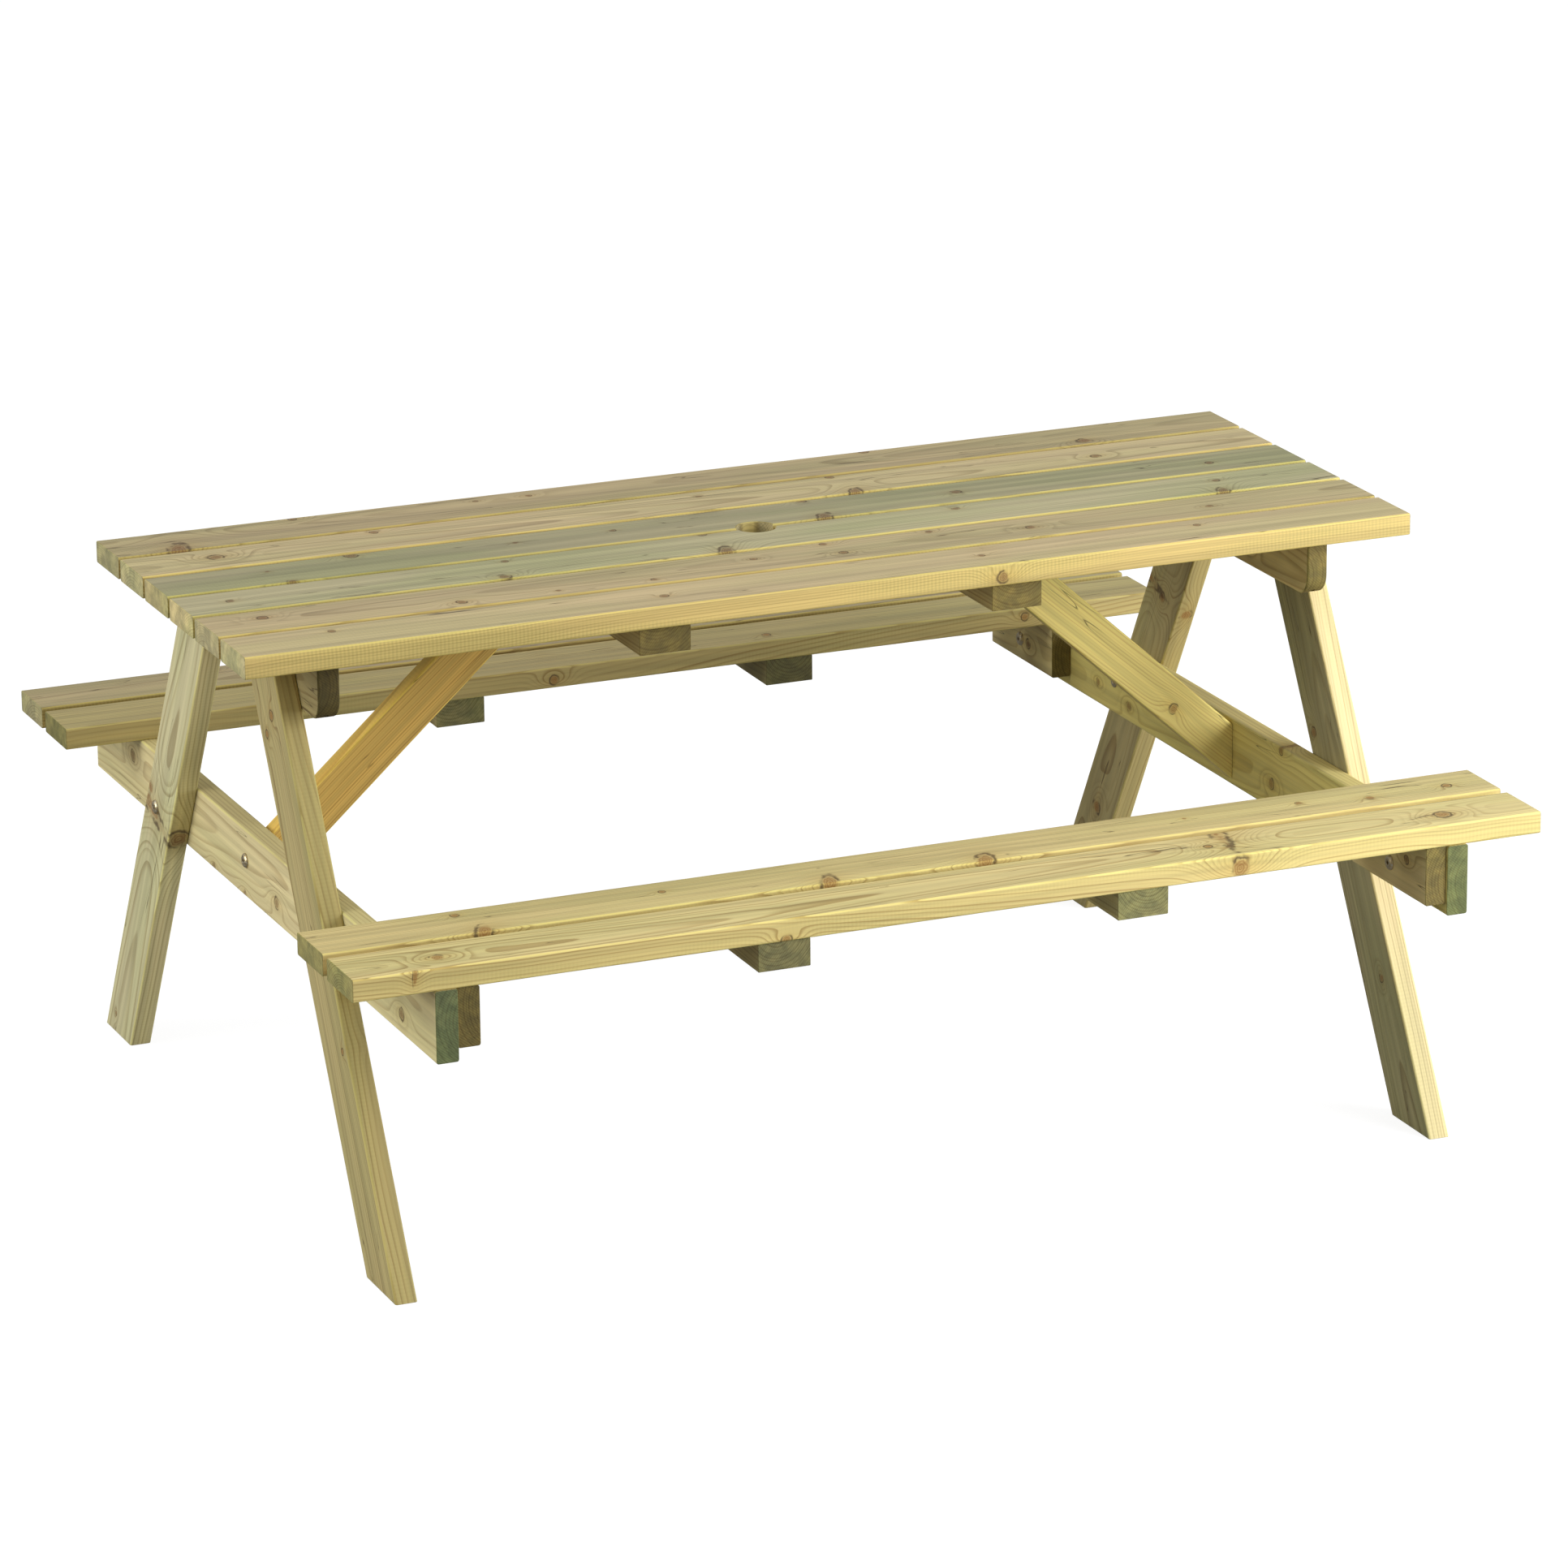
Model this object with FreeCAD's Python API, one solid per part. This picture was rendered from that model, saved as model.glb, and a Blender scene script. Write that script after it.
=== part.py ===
import FreeCAD, Part
import math
import os

# Picnic table with fixed seats, built from planed softwood boards.
# X runs along the table, Y across it, Z up. The origin is on the ground, under the parasol hole.

# Driving dimensions, in millimetres
TABLE_LENGTH = 1540.0
TABLE_HEIGHT = 730.0
SEAT_HEIGHT = 440.0
BOARD_WIDTH = 89.0
BOARD_THICKNESS = 28.0
EDGE_RADIUS = 3.0
BATTEN_EDGE_RADIUS = 1.5

TABLE_PLANKS = 6
TABLE_GAP = 7.0
PARASOL_RADIUS = 25.0

SEAT_GAP = 14.0
SEAT_OUTER_Y = 637.0

LEG_OUTER_X = 698.0
LEG_FOOT_Y = 502.0
LEG_HEAD_Y = 105.0

RAIL_WIDTH = 74.0
CROSSBAR_LENGTH = 508.0
CROSSBAR_CORNER = 26.0
CLEAT_LENGTH = 194.0

BATTEN_WIDTH = 67.0
BATTEN_THICKNESS = 35.0
BATTEN_X = 233.0
TABLE_BATTEN_LENGTH = 545.0
SEAT_BATTEN_LENGTH = 186.0
CLEAT_SETBACK = 3.0

BRACE_WIDTH = 55.0
BRACE_OFFSET_Y = 36.0
BRACE_FOOT_HEIGHT = 331.0
BRACE_LAP = 3.0

# Fasteners
BOLT_RADIUS = 4.0
BOLT_FLANGE_RADIUS = 9.5
BOLT_HEAD_HEIGHT = 4.0
BOLT_SOCKET = 5.0
NUT_FLANGE_RADIUS = 8.5
NUT_FLANGE_HEIGHT = 2.0
NUT_FLOOR = 3.0
NUT_BARREL_RADIUS = 5.0
NUT_BARREL_LENGTH = 18.0
FRAME_BOLT_LENGTH = 46.0
CLEAT_BOLT_LENGTH = 50.0
BRACE_BOLT_LENGTH = 58.0
BRACE_BOLT_HEIGHT = 372.0
LEG_BOLT_SHIFT = 10.0
SCREW_RADIUS = 2.5
SCREW_HEAD_RADIUS = 4.5
SCREW_LENGTH = 52.0
SCREW_SPREAD = 18.0
COUNTERBORE_DEPTH = 36.0
BRACE_SCREW_LENGTH = 68.0
BRACE_SCREW_X = 298.0
CLEARANCE = 0.2
THREAD_PLAY = 0.05
POINT_RADIUS = 0.6

# Heights and positions that follow from them
UNDER_TABLE = TABLE_HEIGHT - BOARD_THICKNESS
UNDER_SEAT = SEAT_HEIGHT - BOARD_THICKNESS
FRAME_X = LEG_OUTER_X - 1.5 * BOARD_THICKNESS
CLEAT_X = FRAME_X - BOARD_THICKNESS
BEARER_OUTER_X = FRAME_X + BOARD_THICKNESS / 2
BEARER_INNER_X = FRAME_X - BOARD_THICKNESS / 2
CLEAT_INNER_X = CLEAT_X - BOARD_THICKNESS / 2
BEARER_Z = UNDER_SEAT - BOARD_WIDTH / 2
CROSSBAR_Z = UNDER_TABLE - RAIL_WIDTH / 2
CLEAT_Z = UNDER_SEAT - RAIL_WIDTH / 2
SEAT_OUTER_PLANK_Y = SEAT_OUTER_Y - BOARD_WIDTH / 2
SEAT_INNER_PLANK_Y = SEAT_OUTER_PLANK_Y - BOARD_WIDTH - SEAT_GAP
SEAT_MIDDLE_Y = (SEAT_OUTER_PLANK_Y + SEAT_INNER_PLANK_Y) / 2
TABLE_PITCH = BOARD_WIDTH + TABLE_GAP
PLANK_CENTRES = [TABLE_PITCH * (k - (TABLE_PLANKS - 1) / 2) for k in range(TABLE_PLANKS)]
SEAT_PLANK_CENTRES = [SEAT_INNER_PLANK_Y, SEAT_OUTER_PLANK_Y]
FRAME_STACK = 2 * BOARD_THICKNESS

SIDES = {"left": -1, "right": 1}
ENDS = {"front": -1, "back": 1}

X_AXIS = FreeCAD.Vector(1, 0, 0)
Y_AXIS = FreeCAD.Vector(0, 1, 0)
Z_AXIS = FreeCAD.Vector(0, 0, 1)


def vector(x, y, z):
    return FreeCAD.Vector(x, y, z)


def moved(shape, x, y, z):
    """A copy of the shape, shifted."""
    copy = shape.copy()
    copy.translate(vector(x, y, z))
    return copy


def turned_to(shape, direction):
    """A copy of the shape with its own +Z pointing along the direction."""
    copy = shape.copy()
    rotation = FreeCAD.Rotation(Z_AXIS, direction)
    copy.Placement = FreeCAD.Placement(vector(0, 0, 0), rotation)
    return copy


def board(size_x, size_y, size_z, along, radius=EDGE_RADIUS):
    """A planed board centred on the origin, its four long edges rounded."""
    corner = vector(-size_x / 2, -size_y / 2, -size_z / 2)
    solid = Part.makeBox(size_x, size_y, size_z, corner)
    long_edges = []
    for edge in solid.Edges:
        direction = edge.tangentAt(edge.FirstParameter)
        if abs(direction.dot(along)) > 0.99:
            long_edges.append(edge)
    return solid.makeFillet(radius, long_edges)


def lathe(profile):
    """A solid turned about Z from (radius, height) points that begin and end on the axis."""
    points = [vector(radius, 0, height) for radius, height in profile]
    outline = Part.makePolygon(points + points[:1])
    return Part.Face(outline).revolve(vector(0, 0, 0), Z_AXIS, 360)


def hexagon_prism(across_flats, depth):
    """A hexagonal prism standing on the XY plane, for a key socket."""
    corner_radius = across_flats / math.sqrt(3)
    angles = [math.radians(60 * k) for k in range(7)]
    points = [vector(corner_radius * math.cos(a), corner_radius * math.sin(a), 0) for a in angles]
    return Part.Face(Part.makePolygon(points)).extrude(vector(0, 0, depth))


# ---------------------------------------------------------------- fasteners
# Each is made with its head seat on the XY plane and its shank along +Z.

def flange_head(shank_profile):
    """A low domed flange head with a hexagon socket, on the given shank outline."""
    crown = [
        (0, -BOLT_HEAD_HEIGHT),
        (0.58 * BOLT_FLANGE_RADIUS, -BOLT_HEAD_HEIGHT),
        (0.84 * BOLT_FLANGE_RADIUS, -0.78 * BOLT_HEAD_HEIGHT),
        (BOLT_FLANGE_RADIUS, -0.38 * BOLT_HEAD_HEIGHT),
        (BOLT_FLANGE_RADIUS, 0),
    ]
    solid = lathe(crown + shank_profile)
    socket_depth = 0.75 * BOLT_HEAD_HEIGHT
    socket = moved(hexagon_prism(BOLT_SOCKET, socket_depth), 0, 0, -BOLT_HEAD_HEIGHT)
    return solid.cut(socket)


def machine_bolt(length):
    return flange_head([(BOLT_RADIUS, 0), (BOLT_RADIUS, length - 1), (BOLT_RADIUS - 1, length), (0, length)])


def lag_bolt(length):
    taper = 2 * BOLT_RADIUS
    return flange_head([(BOLT_RADIUS, 0), (BOLT_RADIUS, length - taper), (POINT_RADIUS, length), (0, length)])


def sleeve_nut():
    """A flanged sleeve that the machine bolt's end screws into."""
    bore_radius = BOLT_RADIUS + THREAD_PLAY
    profile = [
        (0, -NUT_FLANGE_HEIGHT),
        (0.7 * NUT_FLANGE_RADIUS, -NUT_FLANGE_HEIGHT),
        (NUT_FLANGE_RADIUS, -NUT_FLANGE_HEIGHT / 2),
        (NUT_FLANGE_RADIUS, 0),
        (NUT_BARREL_RADIUS, 0),
        (NUT_BARREL_RADIUS, NUT_BARREL_LENGTH),
        (bore_radius, NUT_BARREL_LENGTH),
        (bore_radius, NUT_FLOOR),
        (0, NUT_FLOOR),
    ]
    socket = moved(hexagon_prism(BOLT_SOCKET, NUT_FLOOR), 0, 0, -NUT_FLANGE_HEIGHT)
    return lathe(profile).cut(socket)


def wood_screw(length, slack=0.0):
    """A countersunk wood screw; with some slack it is the hole that the screw needs."""
    head = SCREW_HEAD_RADIUS + slack
    shank = SCREW_RADIUS + slack
    tip = length + slack
    cone = head - shank
    taper = 3 * shank
    point = 0.16 * shank
    profile = [(0, 0), (head, 0), (shank, cone), (shank, tip - taper), (point, tip), (0, tip)]
    return lathe(profile)


def cross_recess():
    """The cross-shaped recess in a screw head."""
    arm, width, depth = 4.6, 1.1, 1.6
    one = Part.makeBox(arm, width, depth, vector(-arm / 2, -width / 2, 0))
    other = Part.makeBox(width, arm, depth, vector(-width / 2, -arm / 2, 0))
    return one.fuse(other)


def placed(shape, direction, position):
    return moved(turned_to(shape, direction), *position)


def frame_joint(position, inward):
    """A through bolt and its sleeve nut for two boards face to face, and the hole for both."""
    far = [position[0] + inward * FRAME_STACK, position[1], position[2]]
    drive = X_AXIS * inward
    bolt = placed(machine_bolt(FRAME_BOLT_LENGTH), drive, position)
    nut = placed(sleeve_nut(), -drive, far)
    shank_hole = Part.makeCylinder(BOLT_RADIUS + CLEARANCE, FRAME_STACK)
    sleeve_hole = Part.makeCylinder(NUT_BARREL_RADIUS + CLEARANCE, NUT_BARREL_LENGTH + CLEARANCE)
    holes = [placed(shank_hole, drive, position), placed(sleeve_hole, -drive, far)]
    return bolt, nut, holes


def lag_joint(position, direction, length):
    """A lag bolt along X and its pilot hole."""
    drive = X_AXIS * direction
    bolt = placed(lag_bolt(length), drive, position)
    radius = BOLT_RADIUS + CLEARANCE
    taper = 2 * BOLT_RADIUS
    tip = length + CLEARANCE
    point = POINT_RADIUS + CLEARANCE
    hole = lathe([(0, 0), (radius, 0), (radius, tip - taper), (point, tip), (0, tip)])
    return bolt, placed(hole, drive, position)


def upward_screw(x, y, z, length, counterbore):
    """A screw driven upwards from below, its hole, and the counterbore its head sits in."""
    screw = moved(wood_screw(length).cut(cross_recess()), x, y, z)
    hole = moved(wood_screw(length, CLEARANCE), x, y, z)
    bore = Part.makeCylinder(SCREW_HEAD_RADIUS + CLEARANCE, counterbore + 1, vector(x, y, z - counterbore - 1))
    return screw, hole.fuse(bore)


# ---------------------------------------------------------------- timber

def table_plank(centre_y):
    plank = moved(board(TABLE_LENGTH, BOARD_WIDTH, BOARD_THICKNESS, X_AXIS),
                  0, centre_y, TABLE_HEIGHT - BOARD_THICKNESS / 2)
    if abs(centre_y) < TABLE_PITCH:
        parasol_hole = Part.makeCylinder(PARASOL_RADIUS, TABLE_HEIGHT)
        plank = plank.cut(parasol_hole)
    return plank


def seat_plank(centre_y):
    return moved(board(TABLE_LENGTH, BOARD_WIDTH, BOARD_THICKNESS, X_AXIS),
                 0, centre_y, SEAT_HEIGHT - BOARD_THICKNESS / 2)


def leg_centre_y(height):
    """Distance of a leg's middle line from the table's middle, at a height."""
    return LEG_FOOT_Y + (LEG_HEAD_Y - LEG_FOOT_Y) * height / UNDER_TABLE


def leg(side, end):
    """A leaning leg, cut level at the foot and at the tabletop."""
    lean = math.degrees(math.atan2(LEG_FOOT_Y - LEG_HEAD_Y, UNDER_TABLE))
    raw = board(BOARD_THICKNESS, BOARD_WIDTH, 1.5 * TABLE_HEIGHT, Z_AXIS)
    raw.rotate(vector(0, 0, 0), X_AXIS, end * lean)
    middle_height = UNDER_TABLE / 2
    x = side * (LEG_OUTER_X - BOARD_THICKNESS / 2)
    raw.translate(vector(x, end * leg_centre_y(middle_height), middle_height))
    slab = Part.makeBox(2 * TABLE_LENGTH, 2 * TABLE_LENGTH, UNDER_TABLE,
                        vector(-TABLE_LENGTH, -TABLE_LENGTH, 0))
    return raw.common(slab)


def crossbar(side):
    """The head rail between two legs, its lower corners rounded off."""
    half = CROSSBAR_LENGTH / 2
    low = CROSSBAR_Z - RAIL_WIDTH / 2
    x = side * FRAME_X - BOARD_THICKNESS / 2
    chord = CROSSBAR_CORNER * (1 - math.sqrt(0.5))
    near_corner = vector(x, -half + CROSSBAR_CORNER, low)
    far_corner = vector(x, half - CROSSBAR_CORNER, low)
    near_side = vector(x, -half, low + CROSSBAR_CORNER)
    far_side = vector(x, half, low + CROSSBAR_CORNER)
    near_top = vector(x, -half, UNDER_TABLE)
    far_top = vector(x, half, UNDER_TABLE)
    near_arc = Part.Arc(near_side, vector(x, -half + chord, low + chord), near_corner).toShape()
    far_arc = Part.Arc(far_corner, vector(x, half - chord, low + chord), far_side).toShape()
    outline = Part.Wire([
        near_arc,
        Part.makeLine(near_corner, far_corner),
        far_arc,
        Part.makeLine(far_side, far_top),
        Part.makeLine(far_top, near_top),
        Part.makeLine(near_top, near_side),
    ])
    solid = Part.Face(outline).extrude(vector(BOARD_THICKNESS, 0, 0))
    rounded = []
    for edge in solid.Edges:
        middle = edge.CenterOfMass
        along_x = edge.BoundBox.XLength > 1
        if not along_x and middle.z < UNDER_TABLE - 1:
            rounded.append(edge)
    return solid.makeFillet(EDGE_RADIUS, rounded)


def bearer(side):
    """The long rail under both seats, on edge against the inner faces of the legs."""
    return moved(board(BOARD_THICKNESS, 2 * SEAT_OUTER_Y, BOARD_WIDTH, Y_AXIS), side * FRAME_X, 0, BEARER_Z)


def seat_cleat(side, end):
    """A short rail on edge that carries one end of a seat, against the bearer."""
    return moved(board(BOARD_THICKNESS, CLEAT_LENGTH, RAIL_WIDTH, Y_AXIS),
                 side * CLEAT_X, end * (SEAT_OUTER_Y - CLEAT_SETBACK - CLEAT_LENGTH / 2), CLEAT_Z)


def table_batten(side):
    """A flat batten that ties the tabletop planks together from below."""
    return moved(board(BATTEN_WIDTH, TABLE_BATTEN_LENGTH, BATTEN_THICKNESS, Y_AXIS, BATTEN_EDGE_RADIUS),
                 side * BATTEN_X, 0, UNDER_TABLE - BATTEN_THICKNESS / 2)


def seat_batten(side, end):
    return moved(board(BATTEN_WIDTH, SEAT_BATTEN_LENGTH, BATTEN_THICKNESS, Y_AXIS, BATTEN_EDGE_RADIUS),
                 side * BATTEN_X, end * SEAT_MIDDLE_Y, UNDER_SEAT - BATTEN_THICKNESS / 2)


def brace_slope():
    """Rise over run of the brace, whose lower edge meets the side of the table batten near its foot."""
    run = BEARER_INNER_X - (BATTEN_X + BATTEN_WIDTH / 2)
    rise = UNDER_TABLE - BATTEN_THICKNESS + BRACE_LAP - BRACE_FOOT_HEIGHT
    return rise / run


def brace(side):
    """A diagonal on edge, from the bearer up into the corner of the table batten and the planks."""
    angle = math.atan(brace_slope())
    raw = board(2 * TABLE_HEIGHT, BOARD_THICKNESS, BRACE_WIDTH, X_AXIS)
    raw.rotate(vector(0, 0, 0), Y_AXIS, side * math.degrees(angle))
    centre_height = BRACE_FOOT_HEIGHT + BRACE_WIDTH / math.cos(angle) / 2
    raw.translate(vector(side * BEARER_INNER_X, -side * BRACE_OFFSET_Y, centre_height))
    inner_x = BATTEN_X + BATTEN_WIDTH / 2
    room = Part.makeBox(BEARER_INNER_X - inner_x, 4 * BRACE_OFFSET_Y, UNDER_TABLE,
                        vector(min(side * inner_x, side * BEARER_INNER_X), -2 * BRACE_OFFSET_Y, 0))
    return raw.common(room)


def timber():
    """Every board by name, before drilling."""
    boards = {}
    for number, centre in enumerate(reversed(PLANK_CENTRES), start=1):
        boards["table_plank_%d" % number] = table_plank(centre)
    for side_name, side in SIDES.items():
        boards["table_batten_" + side_name] = table_batten(side)
        boards["crossbar_" + side_name] = crossbar(side)
        boards["bearer_" + side_name] = bearer(side)
        boards["brace_" + side_name] = brace(side)
        for end_name, end in ENDS.items():
            place = end_name + "_" + side_name
            boards["leg_" + place] = leg(side, end)
            boards["seat_cleat_" + place] = seat_cleat(side, end)
            boards["seat_batten_" + place] = seat_batten(side, end)
    for end_name, end in ENDS.items():
        boards["seat_" + end_name + "_inner"] = seat_plank(end * SEAT_INNER_PLANK_Y)
        boards["seat_" + end_name + "_outer"] = seat_plank(end * SEAT_OUTER_PLANK_Y)
    return boards


# ---------------------------------------------------------------- joints

def frame_fasteners():
    """Bolts and sleeve nuts that join each leg to its crossbar and its bearer."""
    groups = {"crossbar_bolts": [], "crossbar_nuts": [], "bearer_bolts": [], "bearer_nuts": []}
    holes = []
    for side in SIDES.values():
        for end in ENDS.values():
            heights = {"crossbar": (CROSSBAR_Z, 0), "bearer": (BEARER_Z, LEG_BOLT_SHIFT)}
            for rail, (height, shift) in heights.items():
                position = [side * LEG_OUTER_X, end * (leg_centre_y(height) + shift), height]
                bolt, nut, hole = frame_joint(position, -side)
                groups[rail + "_bolts"].append(bolt)
                groups[rail + "_nuts"].append(nut)
                holes.extend(hole)
    return groups, holes


def lag_fasteners():
    """Bolts that fix the cleats and the braces to the bearers."""
    groups = {"cleat_bolts": [], "brace_bolts": []}
    holes = []
    for side in SIDES.values():
        for end in ENDS.values():
            position = [side * CLEAT_INNER_X, end * SEAT_MIDDLE_Y, BEARER_Z]
            bolt, hole = lag_joint(position, side, CLEAT_BOLT_LENGTH)
            groups["cleat_bolts"].append(bolt)
            holes.append(hole)
        position = [side * BEARER_OUTER_X, -side * BRACE_OFFSET_Y, BRACE_BOLT_HEIGHT]
        bolt, hole = lag_joint(position, -side, BRACE_BOLT_LENGTH)
        groups["brace_bolts"].append(bolt)
        holes.append(hole)
    return groups, holes


def screw_points():
    """(group, x, y, z, length, counterbore) of every screw, all driven upwards."""
    points = []
    table_batten_low = UNDER_TABLE - BATTEN_THICKNESS
    seat_batten_low = UNDER_SEAT - BATTEN_THICKNESS
    crossbar_seat = UNDER_TABLE - RAIL_WIDTH + COUNTERBORE_DEPTH
    cleat_seat = UNDER_SEAT - RAIL_WIDTH + COUNTERBORE_DEPTH
    for side in SIDES.values():
        for y in PLANK_CENTRES:
            x = side * FRAME_X
            points.append(("tabletop_screws", x, y, crossbar_seat, SCREW_LENGTH, COUNTERBORE_DEPTH))
            for offset in (-SCREW_SPREAD, SCREW_SPREAD):
                x = side * BATTEN_X + offset
                points.append(("tabletop_screws", x, y + offset, table_batten_low, SCREW_LENGTH, 0))
        for end in ENDS.values():
            for centre in SEAT_PLANK_CENTRES:
                y = end * centre
                x = side * CLEAT_X
                points.append(("seat_screws", x, y, cleat_seat, SCREW_LENGTH, COUNTERBORE_DEPTH))
                for offset in (-SCREW_SPREAD, SCREW_SPREAD):
                    x = side * BATTEN_X + offset
                    points.append(("seat_screws", x, y + offset, seat_batten_low, SCREW_LENGTH, 0))
        run = BEARER_INNER_X - BRACE_SCREW_X
        brace_low = BRACE_FOOT_HEIGHT + brace_slope() * run
        seat_z = brace_low + SCREW_HEAD_RADIUS
        points.append(("brace_screws", side * BRACE_SCREW_X, -side * BRACE_OFFSET_Y, seat_z,
                       BRACE_SCREW_LENGTH, 2 * SCREW_HEAD_RADIUS))
    return points


def screw_fasteners():
    groups = {"tabletop_screws": [], "seat_screws": [], "brace_screws": []}
    holes = []
    for group, x, y, z, length, counterbore in screw_points():
        screw, hole = upward_screw(x, y, z, length, counterbore)
        groups[group].append(screw)
        holes.append(hole)
    return groups, holes


def drilled(solid, holes):
    """The board with every hole that reaches it cut out."""
    for hole in holes:
        if solid.BoundBox.intersect(hole.BoundBox):
            solid = solid.cut(hole)
    return solid


def main():
    os.makedirs("parts", exist_ok=True)
    nodes = {}
    holes = []
    for maker in (frame_fasteners, lag_fasteners, screw_fasteners):
        groups, group_holes = maker()
        holes.extend(group_holes)
        for name, solids in groups.items():
            nodes[name] = Part.makeCompound(solids)
    for name, solid in timber().items():
        nodes[name] = drilled(solid, holes)
    for name, shape in sorted(nodes.items()):
        shape.exportStep("parts/%s.step" % name)
        solids = shape.Solids
        print("%-24s %2d solid(s)  valid %s  %9.0f mm3" % (name, len(solids), shape.isValid(), shape.Volume))


main()
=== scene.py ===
# %% [markdown]
# # A wooden picnic table, board by board
#
# The real table is thirty planed softwood boards and a few handfuls of bolts and screws. The
# carpentry is plain, so the model stands or falls by the timber: every board was sawn from a
# different place in a different tree. This lesson builds one board recipe and one wood recipe,
# and then gives each board its own cut, its own knots and its own tint.
#
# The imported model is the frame. It says where every board is, and nothing here moves it.

# %% Load the frame
import math
import random
from functools import reduce

import bmesh
import bpy
from mathutils import Matrix, Vector


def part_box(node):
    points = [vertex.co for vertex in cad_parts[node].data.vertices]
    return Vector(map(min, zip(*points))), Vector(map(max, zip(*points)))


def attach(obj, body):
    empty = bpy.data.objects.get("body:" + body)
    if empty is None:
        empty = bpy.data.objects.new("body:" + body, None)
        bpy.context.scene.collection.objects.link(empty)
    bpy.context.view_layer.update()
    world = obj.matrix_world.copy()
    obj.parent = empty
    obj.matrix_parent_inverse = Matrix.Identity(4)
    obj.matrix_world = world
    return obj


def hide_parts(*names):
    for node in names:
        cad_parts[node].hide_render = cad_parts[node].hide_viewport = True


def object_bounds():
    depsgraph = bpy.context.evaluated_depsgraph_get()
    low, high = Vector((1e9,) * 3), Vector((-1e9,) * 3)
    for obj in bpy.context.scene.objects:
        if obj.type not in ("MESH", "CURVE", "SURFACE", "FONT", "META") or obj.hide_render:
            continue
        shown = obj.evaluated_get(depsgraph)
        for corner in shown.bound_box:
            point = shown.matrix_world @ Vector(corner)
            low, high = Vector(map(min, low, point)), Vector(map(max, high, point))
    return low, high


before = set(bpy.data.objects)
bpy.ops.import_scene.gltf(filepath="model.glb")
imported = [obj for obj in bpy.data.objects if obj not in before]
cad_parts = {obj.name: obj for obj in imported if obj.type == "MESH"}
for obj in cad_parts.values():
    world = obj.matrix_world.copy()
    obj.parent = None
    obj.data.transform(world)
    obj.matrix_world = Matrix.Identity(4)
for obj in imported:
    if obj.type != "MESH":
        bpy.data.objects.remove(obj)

scene = bpy.context.scene
cad_box = [list(corner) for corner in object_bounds()]
print("CAD box in metres:", cad_box)

# %% [markdown]
# ## Light, floor and camera
#
# Garden furniture is shown on white, in light so soft that it hardly casts a shadow. One very
# large lamp stands in front and to the right, because the front edges are the brightest faces
# and the right-hand legs are brighter than the left. A weaker lamp fills the left end. Sky and
# floor look white, but as a light the sky is weaker at the horizon than overhead, and the floor
# throws back no more than a grey one would, so that undersides and gaps stay dark.

# %% Camera
VIEW_AZIMUTH = math.radians(22.83)
VIEW_ELEVATION = math.radians(17.38)
VIEW_ROLL = math.radians(0.5)
VIEW_DISTANCE = 9.069
VIEW_TARGET = Vector((0.033, -0.005, 0.391))
LENS = 164.9
SENSOR = 36.0


def make_camera():
    """A long lens at the front left, a little above the tabletop."""
    level = math.cos(VIEW_ELEVATION)
    forward = Vector((
        math.sin(VIEW_AZIMUTH) * level,
        math.cos(VIEW_AZIMUTH) * level,
        -math.sin(VIEW_ELEVATION),
    ))
    data = bpy.data.cameras.new("camera")
    data.lens = LENS
    data.sensor_width = SENSOR
    camera = bpy.data.objects.new("camera", data)
    scene.collection.objects.link(camera)
    turn = forward.to_track_quat("-Z", "Y").to_matrix() @ Matrix.Rotation(-VIEW_ROLL, 3, "Z")
    camera.matrix_world = Matrix.Translation(VIEW_TARGET - forward * VIEW_DISTANCE) @ turn.to_4x4()
    scene.camera = camera
    return forward


view_forward = make_camera()
print("the camera looks along", [round(v, 3) for v in view_forward])

# %% Shader helpers


def add(tree, kind, inputs=None, **settings):
    """Adds a node. Inputs maps a socket to a value or to another node's output."""
    node = tree.nodes.new(kind)
    for name, value in settings.items():
        setattr(node, name, value)
    for socket, value in (inputs or {}).items():
        if isinstance(value, bpy.types.NodeSocket):
            tree.links.new(value, node.inputs[socket])
        else:
            node.inputs[socket].default_value = value
    return node


def maths(tree, operation, first, second=0.0):
    """One Math node's output."""
    return add(tree, "ShaderNodeMath", {0: first, 1: second}, operation=operation).outputs[0]


def plus(tree, *terms):
    """The sum of any numbers and sockets."""
    return reduce(lambda total, term: maths(tree, "ADD", total, term), terms)


def minus(tree, first, second):
    return maths(tree, "SUBTRACT", first, second)


def times(tree, *factors):
    """The product of any numbers and sockets."""
    return reduce(lambda total, factor: maths(tree, "MULTIPLY", total, factor), factors)


def vector_maths(tree, operation, first, second=(0, 0, 0)):
    """One Vector Math node's output, which is a number for a length or a dot product."""
    second_socket = "Scale" if operation == "SCALE" else 1
    node = add(tree, "ShaderNodeVectorMath", {0: first, second_socket: second}, operation=operation)
    return node.outputs["Value" if operation in ("DOT_PRODUCT", "LENGTH") else "Vector"]


def ramp(tree, value, low, high, to_low=0.0, to_high=1.0):
    """A smooth step of the value from low to high."""
    return add(tree, "ShaderNodeMapRange",
               {"Value": value, "From Min": low, "From Max": high, "To Min": to_low, "To Max": to_high},
               interpolation_type="SMOOTHSTEP").outputs["Result"]


def noise(tree, vector, scale, detail=2.0, roughness=0.5):
    return add(tree, "ShaderNodeTexNoise", {"Vector": vector, "Scale": scale, "Detail": detail,
                                            "Roughness": roughness}).outputs[0]


def blend(tree, amount, first, second, mode="MIX"):
    """Mixes two colours."""
    return add(tree, "ShaderNodeMix", {0: amount, 6: first, 7: second},
               data_type="RGBA", blend_type=mode).outputs[2]


def tinted(tree, colour, tint):
    """One colour multiplied by another."""
    return blend(tree, 1.0, colour, tint, "MULTIPLY")


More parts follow.
